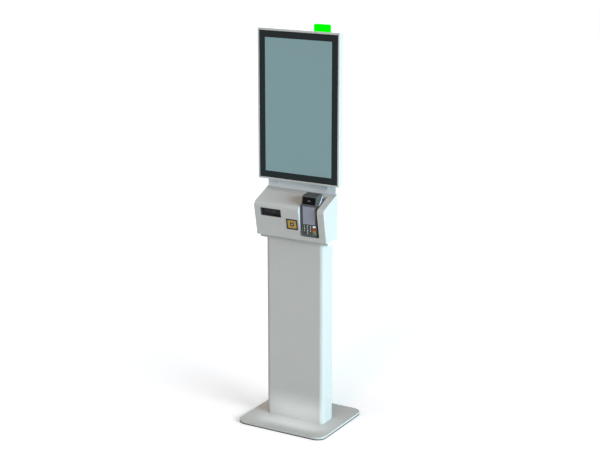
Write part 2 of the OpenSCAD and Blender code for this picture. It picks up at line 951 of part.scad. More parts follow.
module hinge_cover_leaves() {
    knuckle_l = hinge_l * knuckle_share - 2 * fit;
    wall_y = face_y(pivot_z) + (cover_t + run) / cos(lean) - pivot_y;
    at_hinges() difference() {
        union() {
            rod_x(knuckle_r, knuckle_l);
            span([-knuckle_l / 2, knuckle_l / 2], [wall_y + leaf_t / 2, 0],
                [-leaf_t / 2, leaf_t / 2]);
            translate([0, wall_y, 0]) rotate([lean, 0, 0])
                span([-knuckle_l / 2, knuckle_l / 2], [0, leaf_t], [-leaf_t, leaf_h]);
        }
        rod_x(pin_r + run, hinge_l);
    }
}

// A hook that hangs from the cover's slope, for a lock's cam
module cover_hook() {
    low = hook_floor - cover_t;
    across(hook_w) {
        intersection() {
            polygon(inset_points(cover_outline, cover_t + run));
            union() {
                translate([cover_back_y - cover_t, low]) square([cover_t, slope_z - low]);
                difference() {
                    translate([cover_back_y - hook_leaf_l, low]) square([hook_leaf_l, slope_z - low]);
                    polygon(inset_points(cover_outline, 2 * cover_t + run));
                }
            }
        }
        translate([cover_back_y - cover_t, low]) square([hook_y + 2 * cover_t - cover_back_y, cover_t]);
        translate([hook_y, low]) square([cover_t, hook_top - low]);
    }
}

module cover_fittings() {
    color("gray") {
        hinge_cover_leaves();
        for (x = [-lock_x, lock_x]) translate([x, 0, 0]) cover_hook();
    }
}

// Locks
module lock_housings() {
    color("lightgray") for (x = [-lock_x, lock_x]) translate([x, neck_y, lock_z]) difference() {
        union() {
            translate([0, -lock_flange_t, 0]) rod_y(lock_d / 2, lock_flange_t);
            translate([0, -over / 2, 0]) rod_y(lock_barrel_r, lock_barrel_l + over / 2);
            translate([0, box_t, 0]) rotate([-90, 0, 0]) cylinder(r = nut_r, h = nut_t, $fn = 6);
        }
        translate([0, -2 * lock_flange_t, 0]) rod_y(lock_core_r + run, 2 * lock_barrel_l);
    }
}

// A lock's turning core with its cam, which points inwards when unlocked
module lock_core() {
    front = -lock_flange_t - over / 2;
    rear = lock_barrel_l + fit + cam_t;
    translate([0, neck_y, lock_z]) {
        difference() {
            translate([0, front, 0]) rod_y(lock_core_r, rear - front);
            span([-slit_l / 2, slit_l / 2], [front - over, front + slit_depth],
                [-slit_w / 2, slit_w / 2]);
        }
        translate([0, rear - cam_t, 0]) inward(cam_t) {
            translate([0, -cam_w / 2]) square([cam_l - cam_w / 2, cam_w]);
            translate([cam_l - cam_w / 2, 0]) circle(d = cam_w);
            circle(d = cam_hub_d);
        }
    }
}

module left_lock() {
    color("silver") translate([-lock_x, 0, 0]) lock_core();
}

module right_lock() {
    color("silver") translate([lock_x, 0, 0]) mirror([1, 0, 0]) lock_core();
}

// Receipt printer
module receipt_chute() {
    outer_w = slot_w + 2 * chute_wall;
    outer_h = slot_h + 2 * chute_wall;
    back = cover_t + run;
    color("black") on_face(slot_x, slot_z) difference() {
        union() {
            span([-outer_w / 2, outer_w / 2], [back, chute_depth], [-outer_h / 2, outer_h / 2]);
            span([-slot_w / 2 - chute_flange, slot_w / 2 + chute_flange],
                [back, back + chute_wall],
                [-slot_h / 2 - chute_flange, slot_h / 2 + chute_flange]);
        }
        translate([0, -over, 0]) inward(over + chute_depth - chute_wall) slot_outline();
        span([-mouth_in, mouth_in], [0, chute_depth + over], [-mouth_h / 2, mouth_h / 2]);
    }
}

module printer_side() {
    polygon([[side_front, box_floor], [0, box_floor],
        [spine_front - side_back_in, roll_z + side_back_rise],
        [platen_y + side_top_back, printer_top], [printer_front, printer_top],
        [printer_front, paper_z - head_t - head_gap],
        [printer_front + side_nose_in, paper_z - side_nose_drop], [side_front, roll_z]]);
}

module printer_frame() {
    color("silver") translate([slot_x, 0, 0]) difference() {
        union() {
            both_sides() translate([printer_in + plate_t / 2, 0, 0]) across(plate_t) printer_side();
            span([-printer_in - over, printer_in + over], [side_front, 0], [shelf_z, shelf_z + plate_t]);
            span([-printer_in - over, printer_in + over], [printer_front, printer_front + mouth_t],
                [paper_z - head_t - head_gap, printer_top]);
            span([-printer_in - over, printer_in + over], [printer_front, platen_y + tie_back],
                [printer_top - plate_t, printer_top]);
        }
        span([-mouth_in, mouth_in], [printer_front - over, printer_front + mouth_t + over],
            [paper_z - paper_gap / 2, paper_z + paper_gap / 2]);
        translate([0, platen_y, platen_z]) rod_x(platen_shaft_r + run, box_w);
        translate([0, roll_y, roll_z]) rod_x(spindle_d / 2 + run, box_w);
    }
}

module print_head() {
    color("dimgray") translate([slot_x, 0, 0]) {
        span([-printer_in + fit, printer_in - fit],
            [platen_y - head_d / 2 - head_gap, platen_y + head_d / 2], [paper_z - head_t, paper_z - fit]);
    }
}

module platen_roller() {
    color("black") translate([slot_x, platen_y, platen_z]) {
        rod_x(platen_r, paper_w + 2 * platen_side);
        rod_x(platen_shaft_r, 2 * (printer_in + plate_t + shaft_end));
        // drive gear
        translate([printer_in + plate_t + gear_t, 0, 0]) difference() {
            rod_x(gear_r, gear_t);
            for (i = [1 : gear_teeth]) rotate([i * 360 / gear_teeth, 0, 0])
                translate([0, gear_r, 0]) rod_x(gear_notch_r, gear_t + 2 * over);
        }
    }
}

module paper_roll() {
    color("white") translate([slot_x, roll_y, roll_z]) difference() {
        rod_x(roll_r, paper_w);
        rod_x(spindle_d / 2 + run, paper_w + 2 * over);
    }
}

module roll_spindle() {
    color("silver") translate([slot_x, roll_y, roll_z]) {
        rod_x(spindle_d / 2, 2 * (printer_in + plate_t + spindle_end));
        for (x = [-1, 1]) translate([x * (printer_in + plate_t + fit + collar_t / 2), 0, 0])
            rod_x(spindle_d / 2 + collar_rim, collar_t);
    }
}

module cutter_blade() {
    back = printer_front + mouth_t + fit;
    low = paper_z + paper_gap / 2 + blade_rest;
    color("gray") translate([slot_x, 0, 0])
        span([-printer_in + fit, printer_in - fit], [back, back + blade_t], [low, low + blade_h]);
}

// Scanner
module scanner_bezel() {
    color("black") on_face(scanner_x, scanner_z) difference() {
        union() {
            span([-scanner_w / 2, scanner_w / 2], [-scanner_proud, -weld / 2],
                [-scanner_h / 2, scanner_h / 2]);
            span([-scanner_w / 2 + cover_t + fit, scanner_w / 2 - cover_t - fit],
                [-over / 2, cover_t + scanner_sink],
                [-scanner_h / 2 + cover_t + fit, scanner_h / 2 - cover_t - fit]);
        }
        span([-scanner_w / 2 + scanner_rim, scanner_w / 2 - scanner_rim],
            [-2 * scanner_proud, scanner_depth],
            [-scanner_h / 2 + scanner_rim, scanner_h / 2 - scanner_rim]);
    }
}

module scanner_face() {
    w = scanner_w / 2 - scanner_rim - weld;
    h = scanner_h / 2 - scanner_rim - weld;
    color("goldenrod") on_face(scanner_x, scanner_z) difference() {
        span([-w, w], [0, scanner_face_t], [-h, h]);
        span([window_x - window_w / 2, window_x + window_w / 2], [-over, 2 * scanner_face_t],
            [-window_w / 2, window_w / 2]);
    }
}

module scanner_window() {
    w = window_w / 2 - weld;
    color("black") on_face(scanner_x, scanner_z)
        span([window_x - w, window_x + w], [0, scanner_face_t], [-w, w]);
}

module scanner_module() {
    w = scanner_w / 2 - scanner_rim - weld;
    h = scanner_h / 2 - scanner_rim - weld;
    hole = window_w / 2 - scanner_lip;
    front = cover_t + scanner_sink + weld;
    color("dimgray") on_face(scanner_x, scanner_z) {
        difference() {
            span([-w, w], [scanner_face_t, scanner_depth], [-h, h]);
            span([window_x - hole, window_x + hole], [0, scanner_well], [-hole, hole]);
        }
        difference() {
            span([-scanner_w / 2 + cover_t, scanner_w / 2 - cover_t], [front, front + scanner_ring_t],
                [-scanner_h / 2 + cover_t, scanner_h / 2 - cover_t]);
            span([-w + over, w - over], [0, scanner_depth], [-h + over, h - over]);
        }
        translate([window_x, lens_in, 0]) rod_y(lens_r, lens_l);
    }
}

// Payment terminal
module terminal_pocket() {
    color("lightgray") difference() {
        intersection() {
            across(2 * cover_w) polygon(rounded(inner_outline, inner_radii));
            pocket_cut(pocket_t, pocket_t);
        }
        pocket_cut(0, 0);
    }
}

module terminal_front(top_r) {
    polygon(rounded(rectangle([-term_w / 2, term_w / 2], [0, term_h]),
        [term_corner_r, term_corner_r, top_r, top_r]));
}

hood_side = [[-hood_out, hood_z], [term_t, hood_z],
    [hood_d + hood_in, hood_z + hood_h + hood_top_rise], [hood_in, hood_z + hood_h]];

// The hood's leaning front face, z from the hood's lower edge
module on_hood() {
    on_terminal() translate([0, -hood_out, hood_z]) rotate([-hood_lean, 0, 0]) children();
}

// Places of the keys from left to right and from the top row down
function key_x(i) = i == 3 ? function_col_x : key_col_x + i * key_dx;
function key_z(row) = key_rows_z + (3 - row) * key_dz;

module key_outline(w, gap) {
    polygon(rounded(rectangle([-w / 2 - gap, w / 2 + gap], [-key_h / 2 - gap, key_h / 2 + gap]),
        [for (i = [0 : 3]) key_corner_r], 3));
}

module terminal_body() {
    color("dimgray") on_terminal() difference() {
        intersection() {
            inward(term_t) terminal_front(0);
            linear_extrude(term_h) polygon(rounded(rectangle([-term_w / 2, term_w / 2], [0, term_t]),
                [term_front_r, term_front_r, term_back_r, term_back_r]));
        }
        translate([-term_screen_w / 2, -over, term_screen_z])
            cube([term_screen_w, over + term_screen_t + weld, term_screen_h]);
        for (column = [0 : 3], row = [0 : 3]) translate([key_x(column), -over, key_z(row)])
            inward(over + key_deep + key_travel + weld)
                key_outline(column == 3 ? function_key_w : key_w, key_side);
    }
}

module terminal_hood() {
    color("slategray") difference() {
        on_terminal() across(hood_w) polygon(rounded(hood_side, [0, 0, hood_back_r, hood_r]));
        on_hood() span([-reader_w / 2, reader_w / 2], [-over, reader_t],
            [reader_rise, reader_rise + reader_h]);
    }
}

module terminal_reader_window() {
    color("black") on_hood() span([-reader_w / 2 + weld, reader_w / 2 - weld],
        [0, reader_t - weld], [reader_rise + weld, reader_rise + reader_h - weld]);
}

module terminal_screen() {
    color("lightsteelblue") on_terminal()
        span([-term_screen_w / 2 + weld, term_screen_w / 2 - weld], [0, term_screen_t],
            [term_screen_z + weld, term_screen_z + term_screen_h - weld]);
}

bracket_back = term_t + bracket_gap;
// The place on the hood's back edge at a share of its height
function hood_back(share, out) = [term_t + share * (hood_d + hood_in - term_t) + out,
    hood_z + share * (hood_h + hood_top_rise)];
bracket_side = [[term_t + weld, bracket_rise], [bracket_back, bracket_rise],
    [bracket_back + bracket_taper, hood_z - bracket_taper],
    hood_back(bracket_share, bracket_gap), hood_back(bracket_share, weld), hood_back(0, weld)];

module terminal_bracket() {
    leg_front = bracket_back - term_out - bracket_leg_sink;
    color("silver") {
        on_terminal() difference() {
            across(hood_w) polygon(bracket_side);
            across(hood_w - 2 * bracket_t) translate([-bracket_t, 0]) polygon(bracket_side);
        }
        for (rise = bracket_leg_rises) translate([term_x, 0, term_z + rise])
            span([-bracket_leg_w / 2, bracket_leg_w / 2], [leg_front, -pocket_back],
                [0, bracket_leg_h]);
    }
}

module key(i, row, tint) {
    width = i == 3 ? function_key_w : key_w;
    color(tint) on_terminal() translate([key_x(i), -key_proud, key_z(row)])
        inward(key_proud + key_deep) key_outline(width, 0);
}

// Screen
// A bar outline with its two front corners rounded, from -w / 2 to w / 2
function frame_bar(w) = rounded([[frame_y, -w / 2], [frame_back_y, -w / 2],
    [frame_back_y, w / 2], [frame_y, w / 2]], [frame_edge, 0, 0, frame_edge]);

module screen_frame() {
    opening_w = glass_w + 2 * weld;
    opening_h = glass_h + 2 * weld;
    color("whitesmoke") translate([0, 0, screen_z]) difference() {
        intersection() {
            translate([0, frame_y - over, 0]) inward(frame_d + over)
                rounded_plate(frame_w, frame_h, frame_corner_r);
            across(2 * frame_w) polygon(frame_bar(frame_h));
            mirror([1, 0, 0]) rotate([0, 0, 90]) linear_extrude(2 * frame_h, center = true)
                polygon(frame_bar(frame_w));
        }
        span([-opening_w / 2, opening_w / 2], [frame_y - over, frame_back_y - ledge_t],
            [-opening_h / 2, opening_h / 2]);
        span([-glass_w / 2 + ledge_side, glass_w / 2 - ledge_side], [frame_y - over, back_y],
            [ledge_end - glass_h / 2, glass_h / 2 - ledge_end]);
    }
}

module touch_glass() {
    color("black") span([-glass_w / 2, glass_w / 2], [glass_y, glass_y + glass_t],
        [screen_z - glass_h / 2, screen_z + glass_h / 2]);
}

module display_panel() {
    color("cadetblue") span([-panel_w / 2, panel_w / 2], [panel_y, panel_y + panel_t],
        [screen_z - panel_tall / 2, screen_z + panel_tall / 2]);
}

module screen_rails() {
    reach = housing_w / 2 - housing_t - fit;
    leg_in = glass_w / 2 - ledge_side + fit;
    color("silver") for (z = [screen_z - rail_rise, screen_z + rail_rise]) {
        span([-reach, reach], [rail_y, rail_y + rail_plate_t], [z - rail_h / 2, z + rail_h / 2]);
        for (side = [-1, 1]) {
            translate([side * (reach + leg_in) / 2, 0, 0])
                span([-(reach - leg_in) / 2, (reach - leg_in) / 2], [frame_back_y, rail_y + over],
                    [z - rail_h / 2, z + rail_h / 2]);
            translate([side * (spine_w - spine_t) / 2, 0, 0])
                span([-standoff_w / 2, standoff_w / 2], [rail_y + rail_plate_t - over, spine_front],
                    [z - rail_h / 2, z + rail_h / 2]);
        }
    }
}

module computer() {
    left = spine_w / 2 + fit;
    low = lead_top - computer_drop;
    color("dimgray") span([left, left + computer_w], [computer_y, computer_y + computer_d],
        [low, low + computer_h]);
}

module camera() {
    z = glass_z + glass_h - camera_drop;
    color("black") {
        span([-camera_w / 2, camera_w / 2], [panel_y + over, panel_y + camera_d],
            [z - camera_h / 2, z + camera_h / 2]);
        translate([0, panel_y, z]) rod_y(camera_lens_r, 2 * over);
    }
}

module housing_plan(inset) {
    edge = housing_w / 2 - inset;
    polygon(rounded(rectangle([-edge, edge], [frame_back_y - inset * over, back_y - inset]),
        [0, 0, housing_r - inset, housing_r - inset]));
}

module rear_housing() {
    color("whitesmoke") difference() {
        translate([0, 0, housing_z]) linear_extrude(housing_top - housing_z) housing_plan(0);
        translate([0, 0, housing_z + housing_t])
            linear_extrude(housing_top - housing_z - 2 * housing_t) housing_plan(housing_t);
        span([-spine_w / 2 - housing_slot_side, spine_w / 2 + housing_slot_side],
            [spine_front - housing_slot_side, spine_back + housing_slot_back],
            [housing_z - over, housing_z + housing_t + over]);
        for (z = [housing_z + vent_inset, housing_top - vent_inset - vent_h], i = [0 : vent_count - 1])
            translate([(i - (vent_count - 1) / 2) * vent_dx, back_y - 2 * housing_t, z])
                span([-vent_w / 2, vent_w / 2], [0, 4 * housing_t], [0, vent_h]);
    }
}

module status_light() {
    color("lime") translate([beacon_x, neck_y - beacon_out, housing_top]) inward(beacon_d)
        polygon(rounded(rectangle([-beacon_w / 2, beacon_w / 2], [0, beacon_h]),
            [0, 0, light_corner_r, light_corner_r]));
}

base_plate();
foot_pads();
column_shell();
column_end_plates();
fixings();
service_panel();
power_inlet();
power_rocker();
power_supply();
inner_leads();
spine();
module_floor();
module_box();
front_cover();
cover_fittings();
hinge_fixed_leaves();
lock_housings();
left_lock();
right_lock();
receipt_chute();
printer_frame();
print_head();
platen_roller();
paper_roll();
roll_spindle();
cutter_blade();
scanner_bezel();
scanner_face();
scanner_window();
scanner_module();
terminal_pocket();
terminal_bracket();
terminal_body();
terminal_hood();
terminal_reader_window();
terminal_screen();
key(0, 0, "dimgray");  // key_1
key(1, 0, "dimgray");  // key_2
key(2, 0, "dimgray");  // key_3
key(0, 1, "dimgray");  // key_4
key(1, 1, "dimgray");  // key_5
key(2, 1, "dimgray");  // key_6
key(0, 2, "dimgray");  // key_7
key(1, 2, "dimgray");  // key_8
key(2, 2, "dimgray");  // key_9
key(0, 3, "dimgray");  // key_star
key(1, 3, "dimgray");  // key_0
key(2, 3, "dimgray");  // key_hash
key(3, 0, "white");  // key_menu
key(3, 1, "firebrick");  // key_cancel
key(3, 2, "goldenrod");  // key_clear
key(3, 3, "seagreen");  // key_enter
screen_frame();
touch_glass();
display_panel();
screen_rails();
computer();
camera();
rear_housing();
status_light();
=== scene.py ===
import json
import math

import bmesh
import bpy
from mathutils import Matrix, Vector

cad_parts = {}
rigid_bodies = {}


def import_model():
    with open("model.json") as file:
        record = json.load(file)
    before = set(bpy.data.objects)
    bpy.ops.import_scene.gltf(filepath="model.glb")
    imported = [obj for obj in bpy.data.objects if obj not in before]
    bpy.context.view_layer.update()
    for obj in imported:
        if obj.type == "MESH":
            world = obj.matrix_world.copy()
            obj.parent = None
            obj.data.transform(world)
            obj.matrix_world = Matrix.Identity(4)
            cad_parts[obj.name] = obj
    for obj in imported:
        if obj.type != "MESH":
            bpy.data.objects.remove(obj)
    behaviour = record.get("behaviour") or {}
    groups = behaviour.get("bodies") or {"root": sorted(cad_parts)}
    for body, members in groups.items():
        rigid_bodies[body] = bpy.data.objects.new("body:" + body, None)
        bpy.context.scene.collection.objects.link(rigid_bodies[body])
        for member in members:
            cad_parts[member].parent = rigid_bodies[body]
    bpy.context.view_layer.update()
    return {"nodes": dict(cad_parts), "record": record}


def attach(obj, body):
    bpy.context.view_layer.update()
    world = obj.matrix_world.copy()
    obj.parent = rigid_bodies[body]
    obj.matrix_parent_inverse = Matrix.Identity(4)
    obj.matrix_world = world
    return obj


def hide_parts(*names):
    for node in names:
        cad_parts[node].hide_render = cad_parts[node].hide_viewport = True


for leftOver in list(bpy.data.objects):
    bpy.data.objects.remove(leftOver)
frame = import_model()
cadNodes = frame["nodes"]
scene = bpy.context.scene
mm = 0.001  # every size below is in millimetres

# Camera at the photograph's viewing angle
cameraLook = {
    "place": (3.1070, -5.3493, 2.5536),
    "azimuth": 30.144,
    "elevation": 15.026,
    "lens": 85.512,
    "sensor": 36,
    "clip": (0.05, 60),
}


def makeCamera(look):
    data = bpy.data.cameras.new("camera")
    data.sensor_width, data.lens = look["sensor"], look["lens"]
    data.clip_start, data.clip_end = look["clip"]
    made = bpy.data.objects.new("camera", data)
    scene.collection.objects.link(made)
    made.location = look["place"]
    made.rotation_euler = (math.radians(90 - look["elevation"]), 0, math.radians(look["azimuth"]))
    scene.camera = made


makeCamera(cameraLook)
print("camera is set")

# Finishes. "spread" is how far the colour drifts, "patch" how fine that drift is, "grain" the scale and
# depth of the fine relief, and "stretch" draws both out along one way, as brushing does
finishLooks = {
    "satinPaint": {"colour": (0.4346, 0.4592, 0.4592), "spread": 0.03, "patch": 9, "rough": 0.42,
                   "roughSpread": 0.08, "grain": (900, 0.00008), "specular": 0.4, "scuffs": 0.05},
    # The neck box's paint is a lighter, bluer copy of the body paint: painted light, so the neck and its
    # lock housings under the screen frame read as brightly lit
    "boxPaintPaintedLight": {"colour": (0.575, 0.64, 0.69), "spread": 0.03, "patch": 9, "rough": 0.42,
                 "roughSpread": 0.08, "grain": (900, 0.00008), "specular": 0.4},
    "framePaint": {"colour": (0.451, 0.4715, 0.4715), "spread": 0.02, "patch": 7, "rough": 0.36,
                   "roughSpread": 0.06, "grain": (1100, 0.00005), "specular": 0.45},
    # The terminal pocket's paint is a lighter, bluer copy of the body paint: painted light, so its shaded
    # walls read as brightly lit
    "pocketPaintedLight": {"colour": (0.58, 0.62, 0.69), "spread": 0.03, "patch": 20, "rough": 0.4,
                    "roughSpread": 0.06, "grain": (1100, 0.00005), "specular": 0.4},
    "bracketPaint": {"colour": (0.5412, 0.5658, 0.6396), "spread": 0.03, "patch": 20, "rough": 0.35,
                     "roughSpread": 0.06, "grain": (1100, 0.00005), "specular": 0.5},
    "zincSteel": {"colour": (0.4592, 0.4674, 0.4838), "spread": 0.10, "patch": 60, "metal": 1.0,
                  "rough": 0.34, "roughSpread": 0.12, "grain": (260, 0.00004), "stretch": (1, 12, 1)},
    "lockSteel": {"colour": (0.47, 0.50, 0.53), "spread": 0.06, "patch": 120, "metal": 0.35,
                  "rough": 0.36, "roughSpread": 0.08, "grain": (700, 0.00003), "stretch": (1, 1, 8)},
    "caseMetal": {"colour": (0.3444, 0.3526, 0.3608), "spread": 0.08, "patch": 40, "metal": 0.9,
                  "rough": 0.42, "roughSpread": 0.1, "grain": (500, 0.00005), "stretch": (6, 1, 1)},
    "padRubber": {"colour": (0.01804, 0.01804, 0.01804), "spread": 0.2, "patch": 90, "rough": 0.85,
                  "roughSpread": 0.1, "grain": (1500, 0.0001), "specular": 0.25},
    "rollerRubber": {"colour": (0.0246, 0.0246, 0.02624), "spread": 0.15, "patch": 150, "rough": 0.62,
                     "roughSpread": 0.1, "grain": (2600, 0.00004), "specular": 0.35},
    "blackPlastic": {"colour": (0.00984, 0.00984, 0.01066), "spread": 0.2, "patch": 80, "rough": 0.45,
                     "roughSpread": 0.1, "grain": (2200, 0.00006), "specular": 0.35},
    "chutePlastic": {"colour": (0.034, 0.034, 0.034), "spread": 0.08, "patch": 80, "rough": 0.3,
                     "roughSpread": 0.08, "grain": (1800, 0.00005), "specular": 0.5},
    "collarPlastic": {"colour": (0.11, 0.115, 0.125), "spread": 0.06, "patch": 80, "rough": 0.4,
                      "roughSpread": 0.06, "grain": (1800, 0.00004), "specular": 0.4},
    "greyPlastic": {"colour": (0.041, 0.041, 0.0451), "spread": 0.12, "patch": 60, "rough": 0.5,
                    "roughSpread": 0.1, "grain": (2000, 0.00006), "specular": 0.4},
    "terminalShell": {"colour": (0.0405, 0.0425, 0.0415), "spread": 0.08, "patch": 60, "rough": 0.3,
                      "roughSpread": 0.08, "grain": (2400, 0.00006), "specular": 0.5},
    "hoodShell": {"colour": (0.048, 0.0545, 0.0525), "spread": 0.08, "patch": 50, "rough": 0.48,
                  "roughSpread": 0.08, "grain": (2400, 0.00006), "specular": 0.4},
    "windowPlastic": {"colour": (0.0012, 0.0012, 0.0015), "spread": 0.1, "patch": 30, "rough": 0.12,
                      "roughSpread": 0.04, "grain": (300, 0.00001), "specular": 0.08},
    "terminalDisplay": {"colour": (0.235, 0.25, 0.325), "spread": 0.03, "patch": 30, "rough": 0.2,
                        "roughSpread": 0.04, "grain": (3200, 0.00001), "specular": 0.35},
    "keyRubber": {"colour": (0.02296, 0.02296, 0.02296), "spread": 0.12, "patch": 120, "rough": 0.6,
                  "roughSpread": 0.08, "grain": (2600, 0.00005), "specular": 0.35},
    "whiteKey": {"colour": (0.88, 0.9, 0.9), "spread": 0.03, "patch": 120, "rough": 0.4,
                 "roughSpread": 0.06, "grain": (2600, 0.00004)},
    "redKey": {"colour": (0.5, 0.01, 0.012), "spread": 0.05, "patch": 120, "rough": 0.45,
               "roughSpread": 0.06, "grain": (2600, 0.00004), "specular": 0.2},
    "yellowKey": {"colour": (0.43, 0.265, 0.012), "spread": 0.05, "patch": 120, "rough": 0.45,
                  "roughSpread": 0.06, "grain": (2600, 0.00004), "specular": 0.2},
    "greenKey": {"colour": (0.082, 0.246, 0.123), "spread": 0.05, "patch": 120, "rough": 0.4,
                 "roughSpread": 0.06, "grain": (2600, 0.00004)},
    "ochrePlate": {"colour": (0.41, 0.246, 0.01804), "spread": 0.06, "patch": 60, "rough": 0.38,
                   "roughSpread": 0.08, "grain": (900, 0.00006), "stretch": (6, 1, 0.6)},
    "legendInk": {"colour": (0.93, 0.94, 0.95), "spread": 0.02, "patch": 200, "rough": 0.5,
                  "roughSpread": 0.04, "grain": (3000, 0.00001)},
    "dimInk": {"colour": (0.082, 0.0861, 0.0902), "spread": 0.05, "patch": 200, "rough": 0.3,
               "roughSpread": 0.04, "grain": (3000, 0.00001)},
    # The lens glass is pale blue: a painted reflection, standing for the glint on the scanner lens
    "lensGlassPaintedGlint": {"colour": (0.3444, 0.41, 0.5412), "spread": 0.08, "patch": 200, "rough": 0.1,
                  "roughSpread": 0.03, "grain": (800, 0.00001), "coat": 0.6},
    "leadJacket": {"colour": (0.01312, 0.01312, 0.01394), "spread": 0.15, "patch": 60, "rough": 0.55,
                   "roughSpread": 0.08, "grain": (1500, 0.00008), "specular": 0.35},
    "thermalPaper": {"colour": (0.656, 0.6478, 0.6232), "spread": 0.03, "patch": 40, "rough": 0.72,
                     "roughSpread": 0.06, "grain": (1200, 0.00003), "specular": 0.3},
    "cardCore": {"colour": (0.2952, 0.2132, 0.1312), "spread": 0.1, "patch": 90, "rough": 0.85,
                 "roughSpread": 0.05, "grain": (900, 0.00008), "specular": 0.2},
}
# Faint dust and scuffs: the heights between which they fade out, and their grain and shade
scuffLook = {"low": 0.02, "high": 0.16, "scale": 70, "detail": 6, "shade": 0.55}


def addNode(tree, kind, settings=None, sockets=None):
    made = tree.nodes.new(kind)
    for key, value in (settings or {}).items():
        setattr(made, key, value)
    for key, value in (sockets or {}).items():
        made.inputs[key].default_value = value
    return made


def product(tree, a, b):
    made = addNode(tree, "ShaderNodeMath", {"operation": "MULTIPLY"})
    tree.links.new(a, made.inputs[0])
    tree.links.new(b, made.inputs[1])
    return made.outputs[0]


def tint(colour, share):
    return tuple(min(1, c * share) for c in colour) + (1,)


def relief(tree, shader, height, depth, strength=0.6):
    bump = addNode(tree, "ShaderNodeBump", None, {"Strength": strength, "Distance": depth})
    tree.links.new(height, bump.inputs["Height"])
    tree.links.new(bump.outputs["Normal"], shader.inputs["Normal"])


def makeFinish(name, look):
    material = bpy.data.materials.new(name)
    material.use_nodes = True
    tree = material.node_tree
    shader = tree.nodes["Principled BSDF"]
    shader.inputs["Metallic"].default_value = look.get("metal", 0)
    shader.inputs["Specular IOR Level"].default_value = look.get("specular", 0.5)
    shader.inputs["Coat Weight"].default_value = look.get("coat", 0)
    place = addNode(tree, "ShaderNodeTexCoord").outputs["Object"]
    stretched = addNode(tree, "ShaderNodeMapping", None, {"Scale": look.get("stretch", (1, 1, 1))})
    tree.links.new(place, stretched.inputs["Vector"])
    patches = addNode(tree, "ShaderNodeTexNoise", None, {"Scale": look["patch"], "Detail": 3})
    tree.links.new(stretched.outputs[0], patches.inputs["Vector"])
    tones = addNode(tree, "ShaderNodeMix", {"data_type": "RGBA"})
    tones.inputs["A"].default_value = tint(look["colour"], 1 - look["spread"])
    tones.inputs["B"].default_value = tint(look["colour"], 1 + look["spread"])
    tree.links.new(patches.outputs["Fac"], tones.inputs["Factor"])
    colour = tones.outputs["Result"]
    if "scuffs" in look:
        axes = addNode(tree, "ShaderNodeSeparateXYZ")
        tree.links.new(place, axes.inputs[0])
        low = addNode(tree, "ShaderNodeMapRange", None,
                      {"From Min": scuffLook["low"], "From Max": scuffLook["high"],
                       "To Min": look["scuffs"], "To Max": 0})
        tree.links.new(axes.outputs["Z"], low.inputs["Value"])
        dust = addNode(tree, "ShaderNodeTexNoise", None,
                       {"Scale": scuffLook["scale"], "Detail": scuffLook["detail"]})
        tree.links.new(place, dust.inputs["Vector"])
        worn = addNode(tree, "ShaderNodeMix", {"data_type": "RGBA"})
        worn.inputs["B"].default_value = tint(look["colour"], scuffLook["shade"])
        tree.links.new(product(tree, low.outputs["Result"], dust.outputs["Fac"]), worn.inputs["Factor"])
        tree.links.new(colour, worn.inputs["A"])
        colour = worn.outputs["Result"]
    tree.links.new(colour, shader.inputs["Base Color"])
    half = look["roughSpread"] / 2
    sheen = addNode(tree, "ShaderNodeMapRange", None,
                    {"To Min": look["rough"] - half, "To Max": look["rough"] + half})
    tree.links.new(patches.outputs["Fac"], sheen.inputs["Value"])
    tree.links.new(sheen.outputs["Result"], shader.inputs["Roughness"])
    grain = addNode(tree, "ShaderNodeTexNoise", None, {"Scale": look["grain"][0], "Detail": 2})
    tree.links.new(stretched.outputs[0], grain.inputs["Vector"])
    relief(tree, shader, grain.outputs["Fac"], look["grain"][1])
    return material


finishes = {name: makeFinish(name, look) for name, look in finishLooks.items()}
print("finishes:", len(finishes))

# The screen: one sheet of glass with a black printed border and a camera hole, over the lit area
screenLook = {
    "centre": (0, 1461.05),
    "litSize": (336.3, 597.9),
    "litColour": (0.196, 0.318, 0.350),
    "borderColour": (0.001, 0.001, 0.0008),
    "cameraPlace": (0, 1773.8),
    "cameraRadius": 3.2,
    "cameraColour": (0.03, 0.032, 0.036),
    "specular": 0.25,
    "drift": {"scale": 3, "share": 0.03},
    "rough": 0.14,
    "smears": {"scale": 14, "detail": 4, "less": 0.04, "more": 0.06},
}


def insideBand(tree, value, centre, half):
    away = addNode(tree, "ShaderNodeMath", {"operation": "SUBTRACT"})
    tree.links.new(value, away.inputs[0])
    away.inputs[1].default_value = centre
    size = addNode(tree, "ShaderNodeMath", {"operation": "ABSOLUTE"})
    tree.links.new(away.outputs[0], size.inputs[0])
    inside = addNode(tree, "ShaderNodeMath", {"operation": "LESS_THAN"})
    tree.links.new(size.outputs[0], inside.inputs[0])
    inside.inputs[1].default_value = half
    return inside.outputs[0]


